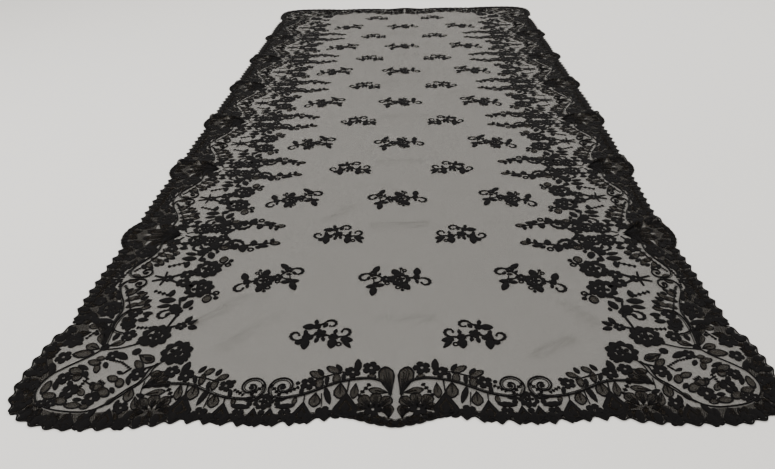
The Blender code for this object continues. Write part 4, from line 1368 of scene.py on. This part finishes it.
@dataclass
class EdgeLine:
    """The scalloped edge: a line, and scallops that stand out to its right.

    Attributes:
        pitch: length of one scallop.
        fan_count: how many scallops a fan of a side has.
        end_fan_count: how many one half of an end's fan has.
        samples: points of the line in a stretch.
        fine: points of the cord in a scallop.
        step: distance between points of the line round a corner.
        depth: how far a scallop of the sides stands out.
        end_depth: the same on the ends.
        corner_depth: the same round the corners.
        fan_depth: the same on the fans.
        cord: half the width of the edging cord.
        lean: how far a point leans forwards, as a share of the pitch.
        fan_power: power of the formula of a fan's scallops.
        shell: trim in a fan's scallops.
        leaf: trim in the other scallops.
        knot: trim between scallops.
        oval: second row of trim between them.
    """

    pitch: float = 0.0240
    fan_count: int = 8
    end_fan_count: int = 6
    samples: int = 41
    fine: int = 10
    step: float = 0.004
    depth: float = 0.0067
    end_depth: float = 0.0082
    corner_depth: float = 0.0052
    fan_depth: float = 0.0022
    cord: float = 0.0012
    lean: float = 0.10
    fan_power: float = 0.6
    shell: Trim = Trim(Kind.SHELL, 0.0140, 0.0130, 0.0110)
    leaf: Trim = Trim(Kind.LEAF, 0.0220, 0.0210, 0.0130, 6)
    knot: Trim = Trim(Kind.DOT, 0.0068, 0.0080, 0.0080)
    oval: Trim = Trim(Kind.OVAL, 0.0250, 0.0150, 0.0085, -14)

    def scallops(self, line: np.ndarray) -> int:
        """How many scallops fit on a line."""
        return round(float(run_of(line)[-1]) / self.pitch)

    def side_lines(self) -> list[Stretch]:
        """The right side's stretches from near to far, each second one round a fan.

        Returns:
            The stretches in order.
        """
        stops = [-SIDE_START, *np.stack([FANS - FAN_REACH, FANS + FAN_REACH], -1).ravel(), SIDE_START]
        stretches = []
        for number, (start, end) in enumerate(zip(stops, stops[1:])):
            y = np.linspace(start, end, self.samples)
            line, inner = side_line(SIDE_EDGE, y), side_line(SIDE_FILL, y)
            if number % 2:
                stretches.append(Stretch(line, inner, self.fan_count, self.fan_depth, fan=True))
            else:
                count = round((end - start) / self.pitch)
                stretches.append(Stretch(line, inner, count, self.depth, deep=True))
        return stretches

    def end_lines(self) -> list[Stretch]:
        """The near end's right half, from the fan in the middle round the corner.

        Returns:
            The stretches in order.
        """
        (fan_line, fan_inner), (line, inner) = (
            [end_line(table, np.linspace(start, end, self.samples)) for table in (END_EDGE, END_FILL)]
            for start, end in ((0.0, END_FAN_REACH), (END_FAN_REACH, END_REACH)))
        corner, fill = (smooth(points - (0.0, HALF_LENGTH), self.step)
                        for points in (CORNER_EDGE, CORNER_FILL))
        return [Stretch(fan_line, fan_inner, self.end_fan_count, self.fan_depth, fan=True),
                Stretch(line, inner, self.scallops(line), self.end_depth),
                Stretch(corner, fill, self.scallops(corner), self.corner_depth, deep=True, blunt=2.0)]

    @staticmethod
    def along(line: np.ndarray, share: np.ndarray) -> tuple[np.ndarray, np.ndarray]:
        """Points along a line, and the directions to its right there.

        Args:
            line: x and y of its points.
            share: how far along, as shares of its length.

        Returns:
            The points and the unit directions.
        """
        return at_shares(line, share, line), to_right(at_shares(line, share, np.gradient(line, axis=0)))

    def outline(self, stretch: Stretch) -> np.ndarray:
        """The scallops' outer line.

        On a fan it stands out by depth |sin(pi n t)|^power. Elsewhere that is depth
        (1 - |cos(pi n t)|^blunt): 1.25 gives wide hollows that meet in points, and more gives rounder tips.
        There it also runs ahead by a share of the pitch, fullest at the tips.

        Args:
            stretch: the stretch of the edge.

        Returns:
            x and y along it.
        """
        t = np.linspace(0, 1, self.fine * stretch.count + 1)
        wave = np.pi * stretch.count * t
        if stretch.fan:
            share, lean = np.abs(np.sin(wave)) ** self.fan_power, 0.0
        else:
            share, lean = 1 - np.abs(np.cos(wave)) ** stretch.blunt, self.lean
        points, right = self.along(stretch.line, t + lean / stretch.count * share)
        return points + right * (stretch.depth * share - self.cord)[:, None]

    def lace(self, stretches: list[Stretch]) -> Lace:
        """The edge's close ground, its edging cord, and the leaves, knots and ovals along it.

        Args:
            stretches: what to cover.

        Returns:
            The edge's lace.
        """
        whole = Lace()
        for stretch in stretches:
            cord, place = self.outline(stretch), np.arange(stretch.count) / stretch.count
            ground = self.along(stretch.inner, np.linspace(0, 1, len(cord)))[0]
            middles, right = self.along(stretch.line, place + 0.5 / stretch.count)
            notches, outwards = self.along(stretch.line, place)
            turn = np.degrees(np.arctan2(right[:, 1], right[:, 0]))
            main = self.shell if stretch.fan else self.leaf
            whole += Lace(cords=(Cord(cord, self.cord),), panels=(Panel(cord, ground),))
            whole += main.along(middles, right, stretch.depth, turn)
            whole += self.knot.along(notches, outwards, 0.0, turn)
            if stretch.deep:
                whole += self.oval.along(notches, outwards, 0.0, turn)
        return whole


def repeats(half: Lace, corner: Lace, middle: Lace) -> Lace:
    """Lace along the right side: both halves of each repeat, with a middle on each row of three.

    Args:
        half: the far half of a repeat about its row of three.
        corner: what takes its place beside a corner.
        middle: the lace on the row itself.

    Returns:
        The side's lace.
    """
    whole = Lace()
    for row in range(1, ROWS, 2):
        near = corner if row == 1 else half
        far = corner if row == ROWS - 2 else half
        whole += (near.flipped(lengthwise=True) + far + middle).moved(y=(row - MIDDLE_ROW) * PITCH)
    return whole


def whole_end(half: Lace, end: End) -> Lace:
    """Lace of both halves of an end, from the near end's right half."""
    return (half + half.flipped(across=True)).flipped(lengthwise=end is End.FAR)


@dataclass(frozen=True)
class Scroll:
    """A scroll at the end of a stem, with a knot in its middle, in millimetres and degrees.

    Attributes:
        x: distance of its middle from the middle line.
        y: distance of its middle from a row of three, or in from the end.
        outer: its first radius.
        inner: its last radius.
        start: the first point's angle.
        sweep: how far it turns, anticlockwise if above zero.
        knot: width of its knot.
        step: how far it turns from point to point.
        power: above 1 where the radius shrinks late, below 1 where it shrinks early.
    """

    x: float
    y: float
    outer: float
    inner: float
    start: float
    sweep: float
    knot: float
    step: float = 18.0
    power: float = 0.75

    def path(self) -> np.ndarray:
        """Its points: the radius shrinks by a power of the share of the sweep.

        Returns:
            An array of x and y.
        """
        t = np.linspace(0, 1, int(abs(self.sweep) / self.step))
        angle = np.radians(self.start + self.sweep * t)
        radius = self.outer + (self.inner - self.outer) * t ** self.power
        return (self.x, self.y) + radius[:, None] * np.stack([np.cos(angle), np.sin(angle)], -1)


@dataclass
class SideLace:
    """Border of a long side: scrolling stem, fern, dense lace and scalloped edge.

    Attributes:
        side: which side.
        scroll: its scroll, beyond a row of three.
        limit: how far beyond the last row of three its own motifs reach.
        cord: half the width of the stem's cord.
        apart: distance of the thin cord beside it, in millimetres.
        curl: half the width of the scroll's cord.
    """

    side: Side
    scroll: Scroll = Scroll(455, 17, 15, 3.0, -70, -430, 7)
    limit: float = 0.116
    cord: float = 0.0014
    apart: float = 3.1
    curl: float = 0.0019

    def stem(self) -> Lace:
        """The stem's cords from the fan to the pair of scrolls, with its scroll and the knot in that.

        Returns:
            The cords and the knot.
        """
        scroll, curl = self.scroll, self.scroll.path()
        path = np.vstack([smooth(SIDE_STEM)[:-1], curl[:2]])
        return (Lace.ribbed(path, self.cord, self.apart) + Lace.thread(curl, self.curl)
                + Lace.of({Kind.DOT: [(scroll.x, scroll.y, 0, scroll.knot)]}))

    def lace(self) -> Lace:
        """The whole border of the side.

        Returns:
            Its lace.
        """
        half, edge = Lace.of(SIDE_FERN, SIDE_OUTER) + self.stem(), EdgeLine()
        whole = repeats(half, half.below(self.limit), Lace()) + edge.lace(edge.side_lines())
        return whole.flipped(across=self.side is Side.LEFT)


@dataclass
class EndLace:
    """Border of an end with its two corners.

    Attributes:
        end: which end.
        repeat: half the length of a repeat, in millimetres.
        scroll: the first stem's scroll.
        cord: half the width of a stem's cord.
        apart: distance of the thin cord beside it, in millimetres.
        vein: half the width of the vein in the middle.
        threads: the corner's other cords, each with half its width.
    """

    end: End
    repeat: float = 182.3
    scroll: Scroll = Scroll(159.5, 75.5, 24, 3.5, -60, 540, 8)
    cord: float = 0.0015
    apart: float = 3.4
    vein: float = 0.0010
    threads: tuple[tuple[Path, float], ...] = (
        (CORNER_LOOP, 0.0013), (CORNER_BAND, 0.0011), (CORNER_LINK, 0.0009), (CORNER_TIE, 0.0012))

    def opposite(self, lace: Lace) -> Lace:
        """Lace mirrored about the line where a repeat turns."""
        return lace.flipped(across=True).moved(x=2 * self.repeat * MM)

    def stems(self) -> Lace:
        """The right half's two stems, from the middle and from the corner, each with its scroll.

        Returns:
            The cords, the knots in the scrolls, and the vein in the middle.
        """
        scroll, curl = self.scroll, self.scroll.path()
        first = np.vstack([smooth(END_STEM)[:-1], curl])
        second = np.vstack([smooth(CORNER_STEM)[:-1], curl * (-1, 1) + (2 * self.repeat, 0)])
        knots = [(x, scroll.y, 0, scroll.knot) for x in (scroll.x, 2 * self.repeat - scroll.x)]
        return (Lace.ribbed(first, self.cord, self.apart) + Lace.ribbed(second, self.cord, -self.apart)
                + Lace.of({Kind.DOT: knots}) + Lace.thread(smooth(END_VEIN), self.vein))

    def loop(self) -> Lace:
        """The corner's great loop and the stems that reach it.

        Returns:
            Their cords.
        """
        whole = Lace.ribbed(smooth(SIDE_STEM_END), self.cord, self.apart)
        for path, radius in self.threads:
            whole += Lace.thread(smooth(path), radius)
        return whole

    def lace(self) -> Lace:
        """The whole border of the end.

        Returns:
            Its lace.
        """
        lower, middle, edge = Lace.of(END_LOWER), Lace.of(END_MIDDLE), EdgeLine()
        blossom = Lace.of({Kind.PALM: END_MIDDLE[Kind.PALM][1:6], Kind.PETAL: END_MIDDLE[Kind.PETAL][:2]})
        between = Lace.of({Kind.ROSE: [(self.repeat, 50, 0, 30)], Kind.DOT: [(self.repeat, 31, 0, 10)]})
        half = (lower + self.opposite(lower) + middle + self.opposite(blossom) + between + self.stems()
                + self.loop() + Lace.of(CORNER_OUTER, CORNER_LOOP_FILL))
        return whole_end(half.moved(y=-HALF_LENGTH) + edge.lace(edge.end_lines()), self.end)


@dataclass
class SideSprays:
    """Sprays of roses and curls inside a long side, the corners' roses among them.

    Attributes:
        side: which side.
    """

    side: Side

    def lace(self) -> Lace:
        """All sprays of the side.

        Returns:
            Their lace.
        """
        short = Lace.of(SIDE_SPRAY)
        roses = Lace.of(CORNER_ROSES).flipped(lengthwise=True).moved(y=HALF_LENGTH - (MIDDLE_ROW - 1) * PITCH)
        whole = repeats(short + Lace.of(SIDE_BRANCH), short + roses, Lace.of(SIDE_TWIG))
        return whole.flipped(across=self.side is Side.LEFT)


@dataclass
class EndSprays:
    """Flowers over the stem in the middle of an end.

    Attributes:
        end: which end.
    """

    end: End

    def lace(self) -> Lace:
        """Both halves."""
        return whole_end(Lace.of(END_UPPER).moved(y=-HALF_LENGTH), self.end)


@dataclass
class Sprigs:
    """Sprigs on the ground, in rows of two and rows of three.

    Attributes:
        apart: distance of each of two from the middle line.
        middle: x and y of the middle one of three, from the middle of its row.
        outer: x and y of the outer ones, of which the left one is mirrored.
        turn: how far those turn, in degrees.
    """

    apart: float = 0.1155
    middle: tuple[float, float] = (0.0025, -0.0025)
    outer: tuple[float, float] = (0.2370, -0.0060)
    turn: float = -20

    def lace(self) -> Lace:
        """All sprigs.

        Returns:
            Their lace.
        """
        pair, three = Lace.of(SPRIG_OF_TWO).moved(-self.apart), Lace.of(SPRIG_OF_THREE)
        outer = three.turned(self.turn).moved(*self.outer)
        rows = (pair + pair.flipped(across=True),
                outer.flipped(across=True) + outer + three.moved(*self.middle))
        whole = Lace()
        for row in range(ROWS):
            whole += rows[row % 2].moved(y=(row - MIDDLE_ROW) * PITCH)
        return whole


@dataclass
class NetGround:
    """The net: one thin shell from edge to edge.

    Attributes:
        low: height of its underside over the floor.
        thick: its thickness.
        across: cells across the cloth.
        along: cells along it.
        inset: how far it stops short of the edge line.
        end_points: points of the end's line from which the net's own are taken.
        side_points: the same for half a side.
    """

    low: float = 0.00018
    thick: float = 0.00030
    across: int = 96
    along: int = 304
    inset: float = 0.0015
    end_points: int = 60
    side_points: int = 400

    def boundary(self) -> tuple[np.ndarray, np.ndarray]:
        """Right half of the near edge, and the right side up to the middle.

        Returns:
            Both lines, which meet at the corner's turn.
        """
        corner = CORNER_EDGE - (0.0, HALF_LENGTH)
        near = end_line(END_EDGE, np.linspace(0.0, END_REACH, self.end_points))
        near = np.vstack([near, corner[1:CORNER_TURN + 1]])
        side = side_line(SIDE_EDGE, np.linspace(-SIDE_START, 0.0, self.side_points))
        side = np.vstack([corner[CORNER_TURN:-1], side])
        return near + (0.0, self.inset), side - (self.inset, 0.0)

    def plan(self) -> np.ndarray:
        """The net's grid in plan: a patch blended from its four edges.

        A point is the blend of the two sides, plus the blend of the two ends, less that of the corners.

        Returns:
            x and y, as row, column and axis.
        """
        near_half, side_half = self.boundary()
        near_half[-1] = side_half[0] = 0.5 * (near_half[-1] + side_half[0])
        near = np.vstack([(near_half * (-1, 1))[::-1], near_half[1:]])
        side = np.vstack([side_half, (side_half * (1, -1))[::-1][1:]])
        across, along = np.linspace(0, 1, self.across + 1), np.linspace(0, 1, self.along + 1)
        near, side = at_shares(near, across, near), at_shares(side, along, side)
        far, left, u, v = near * (1, -1), side * (-1, 1), across[:, None, None], along[:, None]
        corners = (1 - v) * ((1 - u) * near[0] + u * near[-1]) + v * ((1 - u) * far[0] + u * far[-1])
        return (1 - v) * near[:, None] + v * far[:, None] + (1 - u) * left + u * side - corners

    def form(self) -> Form:
        """The shell over the whole grid."""
        return sheet_shell(self.plan(), self.low, self.thick, Stitch.CLOSE)


@dataclass(frozen=True)
class Lamp:
    """A square soft light that faces the cloth's middle.

    Attributes:
        name: its name.
        place: where it hangs.
        size: its width.
        power: in watts.
    """

    name: str
    place: tuple[float, float, float]
    size: float
    power: float

    def add(self) -> None:
        """Puts it into the scene."""
        data = bpy.data.lights.new(self.name, "AREA")
        data.size, data.energy = self.size, self.power
        item = in_scene(bpy.data.objects.new(self.name, data))
        item.location = self.place
        item.rotation_euler = (-Vector(self.place)).to_track_quat("-Z", "Y").to_euler()


@dataclass
class Studio:
    """Floor, light and camera.

    Attributes:
        size: width of the floor.
        height: its height, just under the cloth.
        colour: its linear red, green and blue.
        sky: strength of the sky.
        sky_colour: its linear red, green and blue.
        lamps: a large soft key from the left, a fill from the right and a light behind.
        angles: the camera's yaw, pitch and roll in degrees.
        place: where it stands, low over the near end.
        lens: its focal length in millimetres.
    """

    size: float = 30.0
    height: float = -0.0002
    colour: tuple[float, float, float] = (0.80, 0.78, 0.74)
    sky: float = 0.85
    sky_colour: tuple[float, float, float] = (1.0, 0.985, 0.96)
    lamps: tuple[Lamp, ...] = (
        Lamp("key", (-1.6, -1.2, 2.6), 2.4, 95.0), Lamp("fill", (2.2, 0.6, 2.4), 2.6, 45.0),
        Lamp("back", (0.0, 2.6, 2.6), 2.6, 50.0))
    angles: tuple[float, float, float] = (2.50, 33.35, -1.51)
    place: tuple[float, float, float] = (0.0193, -1.6877, 0.6450)
    lens: float = 36.0 * 600 / 775

    def floor(self) -> None:
        """A plain pale floor."""
        mesh, s = bpy.data.meshes.new("floor"), self.size / 2
        corners = [(x, y, self.height) for x, y in ((-s, -s), (s, -s), (s, s), (-s, s))]
        mesh.from_pydata(corners, [], [(0, 1, 2, 3)])
        material = bpy.data.materials.new("floor")
        material.use_nodes = True
        shader = material.node_tree.nodes["Principled BSDF"]
        shader.inputs["Base Color"].default_value = (*self.colour, 1.0)
        shader.inputs["Roughness"].default_value = 0.9
        mesh.materials.append(material)
        in_scene(bpy.data.objects.new("floor", mesh))

    def lights(self) -> None:
        """The lamps and an even sky."""
        for lamp in self.lamps:
            lamp.add()
        world = bpy.data.worlds.new("sky")
        world.use_nodes = True
        sky = world.node_tree.nodes["Background"]
        sky.inputs["Color"].default_value = (*self.sky_colour, 1.0)
        sky.inputs["Strength"].default_value = self.sky
        bpy.context.scene.world = world

    def camera(self) -> None:
        """A camera low over the near end, looking along the cloth."""
        yaw, pitch, roll = (math.radians(angle) for angle in self.angles)
        ahead = Vector((-math.sin(yaw) * math.cos(pitch), math.cos(yaw) * math.cos(pitch), -math.sin(pitch)))
        level = Vector((math.cos(yaw), math.sin(yaw), 0))
        above = level.cross(ahead)
        right = level * math.cos(roll) + above * math.sin(roll)
        up = -level * math.sin(roll) + above * math.cos(roll)
        data = bpy.data.cameras.new("camera")
        data.sensor_width, data.lens, data.clip_start = 36.0, self.lens, 0.01
        item = in_scene(bpy.data.objects.new("camera", data))
        item.matrix_world = Matrix([(*axes, at) for *axes, at in zip(right, up, -ahead, self.place)]
                                   + [(0, 0, 0, 1)])
        bpy.context.scene.camera = item

    def build(self) -> None:
        """Sets up everything round the cloth."""
        self.camera()
        self.floor()
        self.lights()


def flat_area(form: Form) -> float:
    """Area of a shell's upper half in plan.

    Args:
        form: the shell.

    Returns:
        The area in square metres.
    """
    a, b, c = (form.points[form.faces[:, k], :2] for k in range(3))
    cross = (b[:, 0] - a[:, 0]) * (c[:, 1] - a[:, 1]) - (b[:, 1] - a[:, 1]) * (c[:, 0] - a[:, 0])
    return float(np.clip(cross, 0, None).sum() / 2)


def nodes_named(*starts: str, ends: str = "") -> list[str]:
    """Names of the solids that start with one of some words and end with another."""
    return sorted(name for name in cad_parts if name.startswith(starts) and name.endswith(ends))


def make_net() -> tuple[bpy.types.Object, Form]:
    """The net, with how steep its creases are as an attribute, which paints shade along them in its material.

    Returns:
        The object and its form.
    """
    form = NetGround().form()
    net = make_object("net", form, [Wardrobe().net.material()])
    # Steepness of the creases, where the net's material paints shade.
    crease_shade_mask = net.data.attributes.new("crease_shade", "FLOAT", "POINT")
    crease_shade_mask.data.foreach_set("value", steepness(form.points[:, :2]).astype(np.float32))
    LOG.info("net: %d triangles", len(form.faces))
    return net, form


def settle(item: bpy.types.Object, slot: str, replaced: Sequence[str]) -> None:
    """Says which body a piece rides, and hides the solids that it replaces.

    Args:
        item: the piece.
        slot: the slot's name; not used.
        replaced: the solids' names.
    """
    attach(item, "root")
    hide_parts(*replaced)


def main() -> None:
    """Builds the cloth's pieces and its surroundings."""
    logging.basicConfig(level=logging.INFO, format="%(name)s: %(message)s")
    Studio().build()
    lace_materials, maker = Wardrobe().lace(), LaceMaker()
    net, form = make_net()
    settle(net, "net", ["net_ground"])

    pieces = (
        ("lace_right", SideLace(Side.RIGHT), "border_lace", ["border_right"]),
        ("lace_left", SideLace(Side.LEFT), "border_lace", ["border_left"]),
        ("lace_near", EndLace(End.NEAR), "border_lace", ["border_near"]),
        ("lace_far", EndLace(End.FAR), "border_lace", ["border_far"]),
        ("sprays_right", SideSprays(Side.RIGHT), "motif_lace",
         nodes_named("spray_0", "spray_1", ends="_right")),
        ("sprays_left", SideSprays(Side.LEFT), "motif_lace",
         nodes_named("spray_0", "spray_1", ends="_left")),
        ("sprays_near", EndSprays(End.NEAR), "motif_lace", nodes_named("spray_near")),
        ("sprays_far", EndSprays(End.FAR), "motif_lace", nodes_named("spray_far")),
        ("sprigs", Sprigs(), "motif_lace", nodes_named("sprig_")),
    )
    made = []
    for name, part, slot, replaced in pieces:
        made.append(maker.make(name, part.lace(), lace_materials))
        settle(made[-1], slot, replaced)

    width, length = (float(span) for span in np.ptp(form.points[:, :2], axis=0))
    flat_area(form)
    LOG.info("cloth: %.3f x %.3f m, %.3f square metres", width, length, flat_area(form))

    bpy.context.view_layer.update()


if __name__ == "__main__":
    main()
